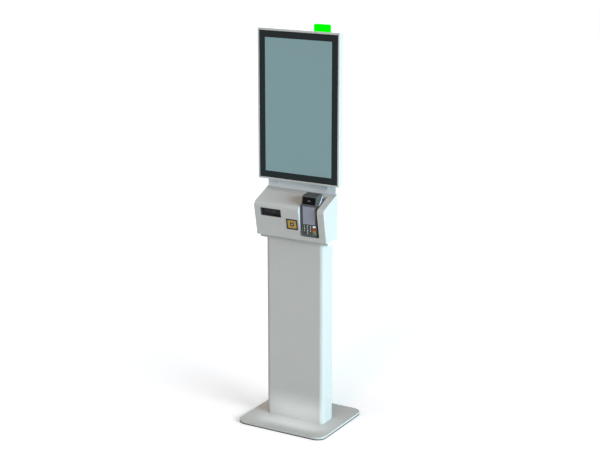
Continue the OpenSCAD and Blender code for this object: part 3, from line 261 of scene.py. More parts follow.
def makeScreenGlass(look):
    material = bpy.data.materials.new("screenGlass")
    material.use_nodes = True
    tree = material.node_tree
    shader = tree.nodes["Principled BSDF"]
    shader.inputs["Specular IOR Level"].default_value = look["specular"]
    place = addNode(tree, "ShaderNodeTexCoord").outputs["Object"]
    axes = addNode(tree, "ShaderNodeSeparateXYZ")
    tree.links.new(place, axes.inputs[0])
    width, height = look["litSize"]
    lit = product(tree, insideBand(tree, axes.outputs["X"], look["centre"][0] * mm, width / 2 * mm),
                  insideBand(tree, axes.outputs["Z"], look["centre"][1] * mm, height / 2 * mm))
    drift = addNode(tree, "ShaderNodeTexNoise", None, {"Scale": look["drift"]["scale"], "Detail": 1})
    tree.links.new(place, drift.inputs["Vector"])
    panel = addNode(tree, "ShaderNodeMix", {"data_type": "RGBA"})
    panel.inputs["A"].default_value = tint(look["litColour"], 1 - look["drift"]["share"])
    panel.inputs["B"].default_value = tint(look["litColour"], 1 + look["drift"]["share"])
    tree.links.new(drift.outputs["Fac"], panel.inputs["Factor"])
    printed = addNode(tree, "ShaderNodeMix", {"data_type": "RGBA"})
    printed.inputs["A"].default_value = tint(look["borderColour"], 1)
    tree.links.new(panel.outputs["Result"], printed.inputs["B"])
    tree.links.new(lit, printed.inputs["Factor"])
    away = addNode(tree, "ShaderNodeVectorMath", {"operation": "DISTANCE"})
    flat = addNode(tree, "ShaderNodeCombineXYZ")
    tree.links.new(axes.outputs["X"], flat.inputs["X"])
    tree.links.new(axes.outputs["Z"], flat.inputs["Z"])
    tree.links.new(flat.outputs[0], away.inputs[0])
    away.inputs[1].default_value = (look["cameraPlace"][0] * mm, 0, look["cameraPlace"][1] * mm)
    hole = addNode(tree, "ShaderNodeMath", {"operation": "LESS_THAN"})
    tree.links.new(away.outputs["Value"], hole.inputs[0])
    hole.inputs[1].default_value = look["cameraRadius"] * mm
    final = addNode(tree, "ShaderNodeMix", {"data_type": "RGBA"})
    final.inputs["B"].default_value = tint(look["cameraColour"], 1)
    tree.links.new(printed.outputs["Result"], final.inputs["A"])
    tree.links.new(hole.outputs[0], final.inputs["Factor"])
    tree.links.new(final.outputs["Result"], shader.inputs["Base Color"])
    smear = look["smears"]
    smears = addNode(tree, "ShaderNodeTexNoise", None, {"Scale": smear["scale"], "Detail": smear["detail"]})
    tree.links.new(place, smears.inputs["Vector"])
    gloss = addNode(tree, "ShaderNodeMapRange", None,
                    {"To Min": look["rough"] - smear["less"], "To Max": look["rough"] + smear["more"]})
    tree.links.new(smears.outputs["Fac"], gloss.inputs["Value"])
    tree.links.new(gloss.outputs["Result"], shader.inputs["Roughness"])
    return material


# The status light glows, and fine upright ribs in its lens show as relief and as painted shade: darker and
# lighter stripes of its colour along them
beaconLook = {
    "glow": (0, 1, 0),
    "strength": 1.0,
    "body": (0.0, 0.06, 0.0),
    "rough": 0.35,
    "ribScale": 66.847,
    "ribShade": 0.2,
    "ribGlow": 0.03,
    "ribDepth": 0.0002,
    "ribStrength": 0.3,
}


def makeBeaconLens(look):
    material = bpy.data.materials.new("beaconLens")
    material.use_nodes = True
    tree = material.node_tree
    shader = tree.nodes["Principled BSDF"]
    shader.inputs["Emission Color"].default_value = (*look["glow"], 1)
    shader.inputs["Specular IOR Level"].default_value = 0
    shader.inputs["Roughness"].default_value = look["rough"]
    place = addNode(tree, "ShaderNodeTexCoord").outputs["Object"]
    ribs = addNode(tree, "ShaderNodeTexWave", {"bands_direction": "X"}, {"Scale": look["ribScale"]})
    tree.links.new(place, ribs.inputs["Vector"])
    tones = addNode(tree, "ShaderNodeMix", {"data_type": "RGBA"})
    tones.inputs["A"].default_value = tint(look["body"], 1 - look["ribShade"])
    tones.inputs["B"].default_value = tint(look["body"], 1 + look["ribShade"])
    tree.links.new(ribs.outputs["Fac"], tones.inputs["Factor"])
    tree.links.new(tones.outputs["Result"], shader.inputs["Base Color"])
    glow = addNode(tree, "ShaderNodeMapRange", None,
                   {"To Min": look["strength"] * (1 - look["ribGlow"]),
                    "To Max": look["strength"] * (1 + look["ribGlow"])})
    tree.links.new(ribs.outputs["Fac"], glow.inputs["Value"])
    tree.links.new(glow.outputs["Result"], shader.inputs["Emission Strength"])
    relief(tree, shader, ribs.outputs["Fac"], look["ribDepth"], look["ribStrength"])
    return material


# Wound paper: fine rings on the roll's ends
windingLook = {"scale": 260, "distortion": 0.6, "detail": 2, "depth": 0.00012}


def makeWoundPaper(look, centre):
    material = makeFinish("woundPaper", finishLooks["thermalPaper"])
    tree = material.node_tree
    shader = tree.nodes["Principled BSDF"]
    place = addNode(tree, "ShaderNodeTexCoord").outputs["Object"]
    moved = addNode(tree, "ShaderNodeMapping", None,
                    {"Location": (0, -centre[1] * mm, -centre[2] * mm), "Scale": (0, 1, 1)})
    tree.links.new(place, moved.inputs["Vector"])
    rings = addNode(tree, "ShaderNodeTexWave", {"wave_type": "RINGS", "rings_direction": "X"},
                    {"Scale": look["scale"], "Distortion": look["distortion"], "Detail": look["detail"]})
    tree.links.new(moved.outputs[0], rings.inputs["Vector"])
    relief(tree, shader, rings.outputs["Fac"], look["depth"])
    return material


finishes["screenGlass"] = makeScreenGlass(screenLook)
finishes["beaconLens"] = makeBeaconLens(beaconLook)

# Shared mesh tools
edgeLook = {"sharp": 40, "wideSharp": 30, "flat": 0.4, "merge": 0.000002}  # degrees, and metres for merge


def newPiece(name, work, body, finish):
    mesh = bpy.data.meshes.new(name)
    bmesh.ops.recalc_face_normals(work, faces=work.faces)
    for edge in work.edges:
        if len(edge.link_faces) == 2:
            edge.smooth = edge.calc_face_angle() < math.radians(edgeLook["sharp"])
    for face in work.faces:
        face.smooth = True
    work.to_mesh(mesh)
    work.free()
    piece = bpy.data.objects.new(name, mesh)
    scene.collection.objects.link(piece)
    mesh.materials.append(finishes[finish])
    weighted = piece.modifiers.new("weighted", "WEIGHTED_NORMAL")
    weighted.keep_sharp = True
    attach(piece, body)
    return piece


def isSharp(edge, angle):
    return len(edge.link_faces) == 2 and edge.calc_face_angle() > math.radians(angle)


def roundEdges(work, edges, width, segments):
    if edges:
        bmesh.ops.bevel(work, geom=edges, offset=width * mm, offset_type="OFFSET", segments=segments,
                        profile=0.5, affect="EDGES", clamp_overlap=True)


def cleanCopy(node):
    work = bmesh.new()
    work.from_mesh(cadNodes[node].data)
    bmesh.ops.remove_doubles(work, verts=work.verts, dist=edgeLook["merge"])
    bmesh.ops.dissolve_limit(work, angle_limit=math.radians(edgeLook["flat"]),
                             use_dissolve_boundaries=False, verts=work.verts, edges=work.edges)
    return work


def bodyOf(node):
    return next(b for b, members in frame["record"]["behaviour"]["bodies"].items() if node in members)


# A dressed node: the CAD shape with its edges rounded. Wide rounds come first, for the edges they pick
def dressNode(node, finish, width, segments, wide=(), keep=None):
    work = cleanCopy(node)
    if keep:  # only the solids that lie where keep says
        bmesh.ops.delete(work, geom=[v for v in work.verts if not keep(v.co / mm)], context="VERTS")
    for pick, wideWidth, wideSegments in wide:
        picked = [e for e in work.edges if isSharp(e, edgeLook["wideSharp"]) and pick(e)]
        roundEdges(work, picked, wideWidth, wideSegments)
    if width:
        roundEdges(work, [e for e in work.edges if isSharp(e, edgeLook["sharp"])], width, segments)
    words = node.split("_")
    piece = newPiece(words[0] + "".join(w.capitalize() for w in words[1:]) + "Dressed",
                     work, bodyOf(node), finish)
    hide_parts(node)


def bothEnds(edge, test):
    return all(test(v.co / mm) for v in edge.verts)


# Sheet metal, plates and cases. Each entry: finish, width of the edge's round (0 keeps it square), segments
dressLooks = {
    "foot_pads": ("padRubber", 0.8, 3),
    "column_end_plates": ("zincSteel", 0.4, 2),
    "service_panel": ("satinPaint", 0.35, 2),
    "power_inlet": ("blackPlastic", 0.4, 2),
    "power_rocker": ("blackPlastic", 0.5, 3),
    "power_supply": ("caseMetal", 1.2, 3),
    "spine": ("zincSteel", 0.5, 2),
    "hinge_fixed_leaves": ("zincSteel", 0.3, 2),
    "cover_fittings": ("zincSteel", 0.3, 2),
    "module_floor": ("satinPaint", 0.35, 2),
    "lock_housings": ("boxPaintPaintedLight", 0.7, 3),
    "left_lock": ("lockSteel", 0.35, 2),
    "right_lock": ("lockSteel", 0.35, 2),
    "receipt_chute": ("chutePlastic", 0, 0),
    "printer_frame": ("zincSteel", 0.3, 2),
    "print_head": ("greyPlastic", 0.6, 3),
    "platen_roller": ("rollerRubber", 0.3, 2),
    "roll_spindle": ("zincSteel", 0.5, 2),
    "cutter_blade": ("zincSteel", 0.25, 2),
    "scanner_bezel": ("blackPlastic", 0.5, 3),
    "scanner_face": ("ochrePlate", 0.25, 2),
    "scanner_window": ("windowPlastic", 0.2, 2),
    "scanner_module": ("greyPlastic", 0.5, 2),
    "terminal_pocket": ("pocketPaintedLight", 0.3, 2),
    "terminal_bracket": ("bracketPaint", 0.5, 3),
    "terminal_reader_window": ("windowPlastic", 0.3, 2),
    "terminal_screen": ("terminalDisplay", 0.2, 2),
    "touch_glass": ("screenGlass", 0.6, 3),
    "display_panel": ("greyPlastic", 1.0, 2),
    "screen_rails": ("zincSteel", 0.4, 2),
    "computer": ("caseMetal", 1.5, 3),
    "camera": ("blackPlastic", 0.4, 2),
    "rear_housing": ("framePaint", 0, 0),
}
for node, (finish, width, segments) in dressLooks.items():
    dressNode(node, finish, width, segments)

# Pieces whose outer edges have wider rounds of their own, and where those edges lie. The service panel's
# screws stand further out than panelScrew, and are made below
rim = {
    "boxSide": 173.9,
    "boxBack": 53,
    "boxFoot": 864,
    "coverSide": 178.4,
    "coverBack": 14,
    "hoodTop": 1046.5,
    "panelScrew": 140,
}


def boxRear(p):
    return abs(p.x) > rim["boxSide"] and p.y > rim["boxBack"]


def boxFront(p):
    return abs(p.x) > rim["boxSide"] and p.y < rim["boxBack"] and p.z > rim["boxFoot"]


def coverSides(p):
    return abs(p.x) > rim["coverSide"] and p.y < rim["coverBack"]


dressNode("base_plate", "satinPaint", 0.8, 3)
dressNode("column_shell", "satinPaint", 0.3, 2)
dressNode("module_box", "boxPaintPaintedLight", 0.35, 2,
          [(lambda e: bothEnds(e, boxRear), 4, 4), (lambda e: bothEnds(e, boxFront), 1.2, 3)])
dressNode("front_cover", "satinPaint", 0.35, 2, [(lambda e: bothEnds(e, coverSides), 1.6, 4)])
dressNode("terminal_body", "terminalShell", 0.25, 2)
dressNode("terminal_hood", "hoodShell", 0.3, 2,
          [(lambda e: bothEnds(e, lambda p: p.z > rim["hoodTop"]), 3.5, 5)])
dressNode("screen_frame", "framePaint", 0.5, 3)
dressNode("fixings", "zincSteel", 0.5, 2, keep=lambda p: abs(p.x) < rim["panelScrew"])
dressNode("status_light", "beaconLens", 1.2, 4)
print("CAD nodes are dressed")

# Inner leads keep their solids, with a jacket finish
leadFinish = cadNodes["inner_leads"].data.materials
leadFinish.clear()
leadFinish.append(finishes["leadJacket"])

# Places on the leaning cover and on the terminal
coverLook = {"footY": -76.5, "footZ": 879.5, "lean": math.atan(28.5 / 152.5)}
terminalLook = {"x": 97.2, "y": -85.5, "z": 906, "lean": math.radians(2.2), "hoodZ": 140,
                "hoodLean": math.atan(8 / 40.5), "hoodOut": 1}


def tilt(angle):
    return Matrix.Rotation(angle, 4, "X")


def onCover(x, z):  # x across, y into the kiosk, z up the cover's face
    faceY = coverLook["footY"] - (z - coverLook["footZ"]) * math.tan(coverLook["lean"])
    return Matrix.Translation(Vector((x, faceY, z)) * mm) @ tilt(coverLook["lean"])


onTerminal = (Matrix.Translation(Vector((terminalLook["x"], terminalLook["y"], terminalLook["z"])) * mm)
              @ tilt(terminalLook["lean"]))
onHood = (onTerminal @ Matrix.Translation(Vector((0, -terminalLook["hoodOut"], terminalLook["hoodZ"])) * mm)
          @ tilt(-terminalLook["hoodLean"]))


def spot(x, y, z):
    return Matrix.Translation(Vector((x, y, z)) * mm)


# A turned shape: profile points are (radius, distance along the axis), and the axis is the matrix's -Y.
# A radius of 0 closes the shape with a tip
def turned(work, matrix, profile, steps=32):
    rings = []
    for radius, along in profile:
        if not radius:
            rings.append([work.verts.new(matrix @ (Vector((0, -along, 0)) * mm))])
            continue
        places = [Vector((radius * math.cos(a), -along, radius * math.sin(a)))
                  for a in (2 * math.pi * i / steps for i in range(steps))]
        rings.append([work.verts.new(matrix @ (place * mm)) for place in places])
    for one, two in zip(rings, rings[1:]):
        for i in range(steps):
            j = (i + 1) % steps
            corners = [one[i % len(one)], one[j % len(one)], two[j % len(two)], two[i % len(two)]]
            kept = []
            for v in corners:
                if v not in kept:
                    kept.append(v)
            if len(kept) > 2:
                work.faces.new(kept)


# A box with rounded edges, used for small built-up details
def block(work, matrix, low, high, radius=0.2, segments=2):
    size = Vector(high) - Vector(low)
    middle = (Vector(high) + Vector(low)) / 2
    place = matrix @ spot(*middle) @ Matrix.Diagonal((*(size * mm), 1))
    made = bmesh.ops.create_cube(work, size=1, matrix=place)
    edges = list({e for v in made["verts"] for e in v.link_edges})
    roundEdges(work, edges, radius, segments)


# Key legends and marks
legendLook = {
    "size": 7.4,
    "signSize": 5.92,
    "bold": 0.36,
    "proud": 0.9,
    "depth": 0.03,
    "curveSteps": 3,
    "columns": (-22.7, -7.2, 8.3, 26),
    "rows": (45.4, 34.8, 24.2, 13.6),
    "digitRound": 0.55,
    "functionRound": 0.9,
}
keyRows = [
    ("1", "2", "3", "menu"),
    ("4", "5", "6", "cancel"),
    ("7", "8", "9", "clear"),
    ("star", "0", "hash", "enter"),
]
keySigns = {"star": "*", "hash": "#", "menu": "", "cancel": "x", "clear": "<", "enter": "o"}
functionKeys = {"menu": "whiteKey", "cancel": "redKey", "clear": "yellowKey", "enter": "greenKey"}
dimKeys = ("star", "hash")


def keyLegend(name, words, size, matrix, body, finish):
    curve = bpy.data.curves.new(name, "FONT")
    curve.body, curve.size = words, size * mm
    curve.align_x, curve.align_y = "CENTER", "CENTER"
    curve.extrude = legendLook["depth"] * mm / 2
    curve.offset = legendLook["bold"] * mm
    curve.resolution_u = legendLook["curveSteps"]
    holder = bpy.data.objects.new(name, curve)
    scene.collection.objects.link(holder)
    bpy.context.view_layer.update()
    mesh = bpy.data.meshes.new_from_object(holder.evaluated_get(bpy.context.evaluated_depsgraph_get()))
    bpy.data.objects.remove(holder)
    mesh.transform(matrix @ Matrix.Rotation(math.radians(90), 4, "X"))
    mesh.name = name
    mesh.materials.clear()
    mesh.materials.append(finishes[finish])
    piece = bpy.data.objects.new(name, mesh)
    scene.collection.objects.link(piece)
    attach(piece, body)


def dressKey(name, x, z, look):
    node = "key_" + name
    sign = keySigns.get(name, name)
    finish, edge, size, ink = "keyRubber", look["digitRound"], look["size"], "legendInk"
    if name in dimKeys:
        ink = "dimInk"
    if name in functionKeys:
        finish, edge, size, ink = functionKeys[name], look["functionRound"], look["signSize"], "keyRubber"
    dressNode(node, finish, edge, 3)
    if sign:
        place = onTerminal @ spot(x, -look["proud"] - look["depth"] / 2, z)
        keyLegend("keyLegend" + name.capitalize(), sign, size, place, bodyOf(node), ink)


for names, z in zip(keyRows, legendLook["rows"]):
    for name, x in zip(names, legendLook["columns"]):
        dressKey(name, x, z, legendLook)
print("keys are dressed")

# Reader window: a small centre mark and faint corner arcs; lamps above the terminal's screen
readerLook = {
    "middleZ": 21.05,
    "dot": 2.6,
    "dotRise": 0.05,
    "arcRadius": 9,
    "arcWidth": 0.9,
    "arcRise": 0.06,
    "arcSpread": 34,
    "lampX": (-9, -3, 3, 9),
    "lampZ": 136.6,
    "lamp": [(0, 0.25), (0.7, 0.2), (0.95, 0.02), (0.95, -0.3)],
}


def arcBand(work, matrix, radius, width, start, end, depth, steps=12):
    lines = []
    corners = [(radius, 0), (radius, depth), (radius + width, depth), (radius + width, 0)]
    for i in range(steps + 1):
        a = math.radians(start + (end - start) * i / steps)
        out = Vector((math.cos(a), 0, math.sin(a)))
        lines.append([work.verts.new(matrix @ ((out * r + Vector((0, -d, 0))) * mm)) for r, d in corners])
    for one, two in zip(lines, lines[1:]):
        for k in range(4):
            work.faces.new([one[k], one[(k + 1) % 4], two[(k + 1) % 4], two[k]])
    work.faces.new(lines[0][::-1])
    work.faces.new(lines[-1])


def makeReaderMarks(look):
    centre = onHood @ spot(0, 0, look["middleZ"])
    work = bmesh.new()
    turned(work, centre, [(0, look["dotRise"]), (look["dot"], look["dotRise"]), (look["dot"], 0)], 20)
    newPiece("readerDot", work, "cover", "lensGlassPaintedGlint")
    work = bmesh.new()
    for side in (0, 180):
        arcBand(work, centre, look["arcRadius"], look["arcWidth"],
                side - look["arcSpread"], side + look["arcSpread"], look["arcRise"])
    newPiece("readerArcs", work, "cover", "dimInk")
    work = bmesh.new()
    for x in look["lampX"]:
        turned(work, onTerminal @ spot(x, 0, look["lampZ"]), look["lamp"], 16)
    newPiece("readerLamps", work, "cover", "dimInk")


makeReaderMarks(readerLook)

# Behind the hood: dark strips along its back edge, painted shade where that edge is shaded, and ears on the
# bracket's sides
hoodBackLook = {
    "halfWidth": 36,
    "foot": (24, 140),
    "top": (65, 186),
    "shadeStripWidth": (-3, 3.2),
    "shadeStripRun": (3, 54),
    "shadeStripProud": 0.35,
    "shadeStripSunk": 0.5,
    "shadeStripRound": 0.15,
    "ear": (6.5, 15.5),
    "earRun": (24, 31),
    "earThick": 2,
    "earRound": 0.3,
}


def makeHoodBack(look):
    (y0, z0), (y1, z1) = look["foot"], look["top"]
    alongEdge = onTerminal @ spot(0, y0, z0) @ tilt(-math.atan2(y1 - y0, z1 - z0))
    shadeStrips, ears = bmesh.new(), bmesh.new()
    for side in (-1, 1):
        x = side * look["halfWidth"]
        ends = sorted((x - side * look["shadeStripSunk"], x + side * look["shadeStripProud"]))
        block(shadeStrips, alongEdge, (ends[0], look["shadeStripWidth"][0], look["shadeStripRun"][0]),
              (ends[1], look["shadeStripWidth"][1], look["shadeStripRun"][1]), look["shadeStripRound"])
        ends = sorted((x, x - side * look["earThick"]))
        block(ears, alongEdge, (ends[0], look["ear"][0], look["earRun"][0]),
              (ends[1], look["ear"][1], look["earRun"][1]), look["earRound"])
    # The hood's back-edge strips are painted shade: dark rubber standing where the hood's back edge is
    # shaded
    newPiece("hoodShadeStrips", shadeStrips, "cover", "keyRubber")
    newPiece("bracketEars", ears, "cover", "bracketPaint")


makeHoodBack(hoodBackLook)

# Scanner lens in its window; the lens glass's pale blue colour is a painted reflection
lensLook = {
    "x": 11,
    "z": 950.2,
    "radius": 4.6,
    "dome": [(0, 0.55), (0.5, 0.48), (0.85, 0.28), (1, 0)],
    "ring": 6.6,
    "ringRise": 0.5,
    "ringBevel": (0.3, 0.25),
}


def makeScannerLens(look):
    middle = onCover(look["x"], look["z"])
    inner, outer, rise = look["radius"], look["ring"], look["ringRise"]
    bevelIn, bevelDown = look["ringBevel"]
    work = bmesh.new()
    turned(work, middle, [(inner * share, along) for share, along in look["dome"]], 28)
    newPiece("scannerLens", work, "cover", "lensGlassPaintedGlint")
    work = bmesh.new()
    ringShape = [(inner, 0), (inner, rise), (outer - bevelIn, rise), (outer, rise - bevelDown), (outer, 0)]
    turned(work, middle, ringShape, 28)
    newPiece("scannerLensRing", work, "cover", "blackPlastic")


makeScannerLens(lensLook)

# Fine ribs across the back of the receipt chute, and a thin collar that lines the slot's edge
chuteLook = {
    "x": -94,
    "z": 993.5,
    "halfWidth": 53,
    "halfHeight": 19.25,
    "ribSteps": (7.5, 10.5, 13.5, 16.5),
    "rib": 1.1,
    "ribReach": (15, 18.2),
    "ribGap": 0.5,
    "ribRound": 0.3,
    "collar": (0.4, 5.2),
    "collarWall": 0.6,
    "collarGap": 0.05,
    "collarRound": 0.2,
}


def makeChuteRibs(look):
    work = bmesh.new()
    middle = onCover(look["x"], look["z"])
    front, back = look["ribReach"]
    x = look["halfWidth"] - look["ribGap"]
    for z in [side * step for step in look["ribSteps"] for side in (-1, 1)]:
        low, high = z - look["rib"] / 2, z + look["rib"] / 2
        block(work, middle, (-x, front, low), (x, back, high), look["ribRound"])
    newPiece("chuteRibs", work, "cover", "chutePlastic")


def makeChuteCollar(look):
    work = bmesh.new()
    middle = onCover(look["x"], look["z"])
    front, back = look["collar"]
    x, z = look["halfWidth"] - look["collarGap"], look["halfHeight"] - look["collarGap"]
    wall, edge = look["collarWall"], look["collarRound"]
    for side in (-1, 1):
        ends = sorted((side * x, side * (x - wall)))
        block(work, middle, (ends[0], front, wall - z), (ends[1], back, z - wall), edge)
        ends = sorted((side * z, side * (z - wall)))
        block(work, middle, (wall - x, front, ends[0]), (x - wall, back, ends[1]), edge)
    newPiece("chuteCollar", work, "cover", "collarPlastic")


makeChuteRibs(chuteLook)
makeChuteCollar(chuteLook)


# Screws with a domed head and a fine cross on it, as shares of the head's radius and height.
# The matrix's -Y points out of the head
headLook = {
    "dome": [(0, 0.55), (0.16, 0.55), (0.2, 1), (0.62, 0.94), (0.9, 0.6), (1, 0.2), (1, 0)],
    "crossHalf": (0.55, 0.09),
    "crossRise": (0.8, 1.02),
    "crossRound": 0.05,
}


def screwHead(work, matrix, radius, height, look):
    turned(work, matrix, [(radius * out, height * along) for out, along in look["dome"]], 28)
    x, z = (radius * half for half in look["crossHalf"])
    low, high = (height * share for share in look["crossRise"])
    for turn in (0, 90):
        cross = matrix @ Matrix.Rotation(math.radians(turn), 4, "Y")
        block(work, cross, (-x, -high, -z), (x, -low, z), look["crossRound"], 1)


def facing(direction):  # turns -Y towards the direction
    return Vector(direction).to_track_quat("-Y", "Z").to_matrix().to_4x4()


screwLooks = {
    "panelScrews": {"body": "stand", "radius": 3.5, "height": 1.2, "replaces": "fixings",
                    "shank": [(1.75, 0), (1.75, -6.4), (1.225, -6.8), (0, -6.8)],
                    "spots": [((s * 150, 8, z), (s, 0, 0)) for s in (-1, 1) for z in (148.5, 377)]},
    "housingScrews": {"body": "stand", "radius": 3.2, "height": 1.3,
                      "spots": [((x, 50, z), (0, 1, 0)) for x in (-170, 170) for z in (1150, 1457, 1764)]},
    "inletScrews": {"body": "stand", "radius": 2.0, "height": 0.9,
                    "spots": [((x, 52.5, 63), (0, 1, 0)) for x in (-23.4, 23.4)]},
    "hingeScrews": {"body": "stand", "radius": 2.4, "height": 1.0,
                    "spots": [((s * 130 + x, -50, 873), (0, 1, 0)) for s in (-1, 1) for x in (-22, 0, 22)]},
}


def makeScrews(name, look):
    work = bmesh.new()
    for place, direction in look["spots"]:
        matrix = spot(*place) @ facing(direction)
        screwHead(work, matrix, look["radius"], look["height"], headLook)
        if "shank" in look:
            turned(work, matrix, look["shank"], 20)
    piece = newPiece(name, work, look["body"], "zincSteel")
    if "replaces" in look:
        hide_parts(look["replaces"])


for name, look in screwLooks.items():
    makeScrews(name, look)
print("screws are in")

# Paper roll with its card core, and the paper that runs from it to the platen
paperLook = {
    "centre": (-94, -30, 932.5),
    "radius": 45,
    "core": 9,
    "bore": 6.08,
    "half": 40,
    "edge": 0.4,
    "dish": 0.2,
    "coreGap": 0.02,
    "thick": 0.09,
    "lift": 0.25,
    "leaving": (70, 73, 76, 79),  # degrees round the roll where the paper comes off it
    "bend": {"steps": 13, "past": 14, "share": 0.4, "drop": 0.5},
    "nip": (-50, 996.98),
    "nipRun": (9, 7),
    "rise": (0.02, 0.3),
    "end": -63.5,
}
finishes["woundPaper"] = makeWoundPaper(windingLook, paperLook["centre"])


def makePaperRoll(look):
    sideways = spot(*look["centre"]) @ facing((1, 0, 0))
    work = bmesh.new()
    r, h, core, edge, dish = (look[key] for key in ("radius", "half", "core", "edge", "dish"))
    turned(work, sideways, [(core, dish - h), (r - edge, -h), (r, edge - h), (r, h - edge), (r - edge, h),
                            (core, h - dish), (core, dish - h)], 96)
    roll = newPiece("paperRollWound", work, "roll", "woundPaper")
    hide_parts("paper_roll")
    work = bmesh.new()
    bore, outside = look["bore"], core - look["coreGap"]
    turned(work, sideways, [(bore, -h), (outside, -h), (outside, h), (bore, h), (bore, -h)], 48)
    newPiece("paperRollCore", work, "roll", "cardCore")


def makePaperWeb(look):
    x, y0, z0 = look["centre"]
    nipY, nipZ = look["nip"]
    before, after = look["nipRun"]
    r = look["radius"] + look["lift"]
    points = [(y0 + r * math.cos(a), z0 + r * math.sin(a)) for a in map(math.radians, look["leaving"])]
    # An easy curve from the roll's top into the nip
    bend, start, end = look["bend"], points[-1], (nipY + before, nipZ)
    bendY = start[0] + (end[0] + bend["past"] - start[0]) * bend["share"]
    bendZ = nipZ - bend["drop"]
    for i in range(bend["steps"]):
        t = (i + 1) / bend["steps"]
        a, b, c = (1 - t) ** 2, 2 * t * (1 - t), t * t
        points.append((a * start[0] + b * bendY + c * end[0], a * start[1] + b * bendZ + c * end[1]))
    points += [(nipY, nipZ), (nipY - after, nipZ + look["rise"][0]), (look["end"], nipZ + look["rise"][1])]
    work = bmesh.new()
    corners = [(-1, 0), (1, 0), (1, look["thick"]), (-1, look["thick"])]
    rows = [[work.verts.new(Vector((x + side * look["half"], y, z + lift)) * mm) for side, lift in corners]
            for y, z in points]
    for one, two in zip(rows, rows[1:]):
        for k in range(4):
            work.faces.new([one[k], one[(k + 1) % 4], two[(k + 1) % 4], two[k]])
    work.faces.new(rows[0][::-1])
    work.faces.new(rows[-1])
    newPiece("paperWeb", work, "stand", "thermalPaper")


makePaperRoll(paperLook)
makePaperWeb(paperLook)
print("paper is in")

# Floor, world and lamps
stageLook = {
    "floorHalf": 14,
    "floorRough": 0.9,
    "floorSpecular": 0.1,
    "floorColour": (0.85, 0.85, 0.85),
    "seenColour": (0.98, 0.75, 0.70),
    "floorLift": (1.0, 1.4),
    "liftColour": (0.188, 0.39, 0.465),
    "liftFrom": (0.45, 2.0),
    "baseHalf": (0.225, 0.2),
    "baseCorner": 0.045,
    "contactWidth": 0.03,
    "contactShade": 0.86,
    "lightAxis": (0.75, 0.05, -0.66),
    "dimLight": (0.28, 0.23, 0.18),
    "brightLight": (0.60, 0.55, 0.50),
    "suns": [
        {"from": (0.93, -0.2, 0.2), "angle": 34, "strength": 5.4, "tint": (0.703, 0.917, 1.0)},
        {"from": (0.1, -0.75, 0.65), "angle": 15, "strength": 0.5, "tint": (1.0, 0.5, 0.42)},
        {"from": (-0.1, -0.15, 0.97), "angle": 15, "strength": 0.42, "tint": (1.0, 1.0, 0.9)},
    ],
    "footLamp": {"place": (0.02, -0.128, 0.075), "target": (0.02, -0.05, 0.002), "size": (0.3, 0.02),
                 "power": 0.095},
}


def seenRays(tree, kinds):
    rays = addNode(tree, "ShaderNodeLightPath")
    total = rays.outputs[kinds[0]]
    for kind in kinds[1:]:
        more = addNode(tree, "ShaderNodeMath", {"operation": "MAXIMUM"})
        tree.links.new(total, more.inputs[0])
        tree.links.new(rays.outputs[kind], more.inputs[1])
        total = more.outputs[0]
    return total


def makeWorld(look):
    world = bpy.data.worlds.new("studio")
    scene.world = world
    world.use_nodes = True
    tree = world.node_tree
    ground = tree.nodes["Background"]
    along = addNode(tree, "ShaderNodeVectorMath", {"operation": "DOT_PRODUCT"})
    tree.links.new(addNode(tree, "ShaderNodeTexCoord").outputs["Generated"], along.inputs[0])
    along.inputs[1].default_value = look["lightAxis"]
    across = addNode(tree, "ShaderNodeMapRange", None, {"From Min": -1, "From Max": 1})
    tree.links.new(along.outputs["Value"], across.inputs["Value"])
    sides = addNode(tree, "ShaderNodeMix", {"data_type": "RGBA", "clamp_result": False})
    sides.inputs["A"].default_value = (*look["dimLight"], 1)
    sides.inputs["B"].default_value = (*look["brightLight"], 1)
    tree.links.new(across.outputs["Result"], sides.inputs["Factor"])
    white = addNode(tree, "ShaderNodeMix", {"data_type": "RGBA"})
    white.inputs["B"].default_value = (1, 1, 1, 1)
    tree.links.new(sides.outputs["Result"], white.inputs["A"])
    seen = seenRays(tree, ("Is Camera Ray", "Is Glossy Ray", "Is Transmission Ray"))
    tree.links.new(seen, white.inputs["Factor"])
    tree.links.new(white.outputs["Result"], ground.inputs["Color"])


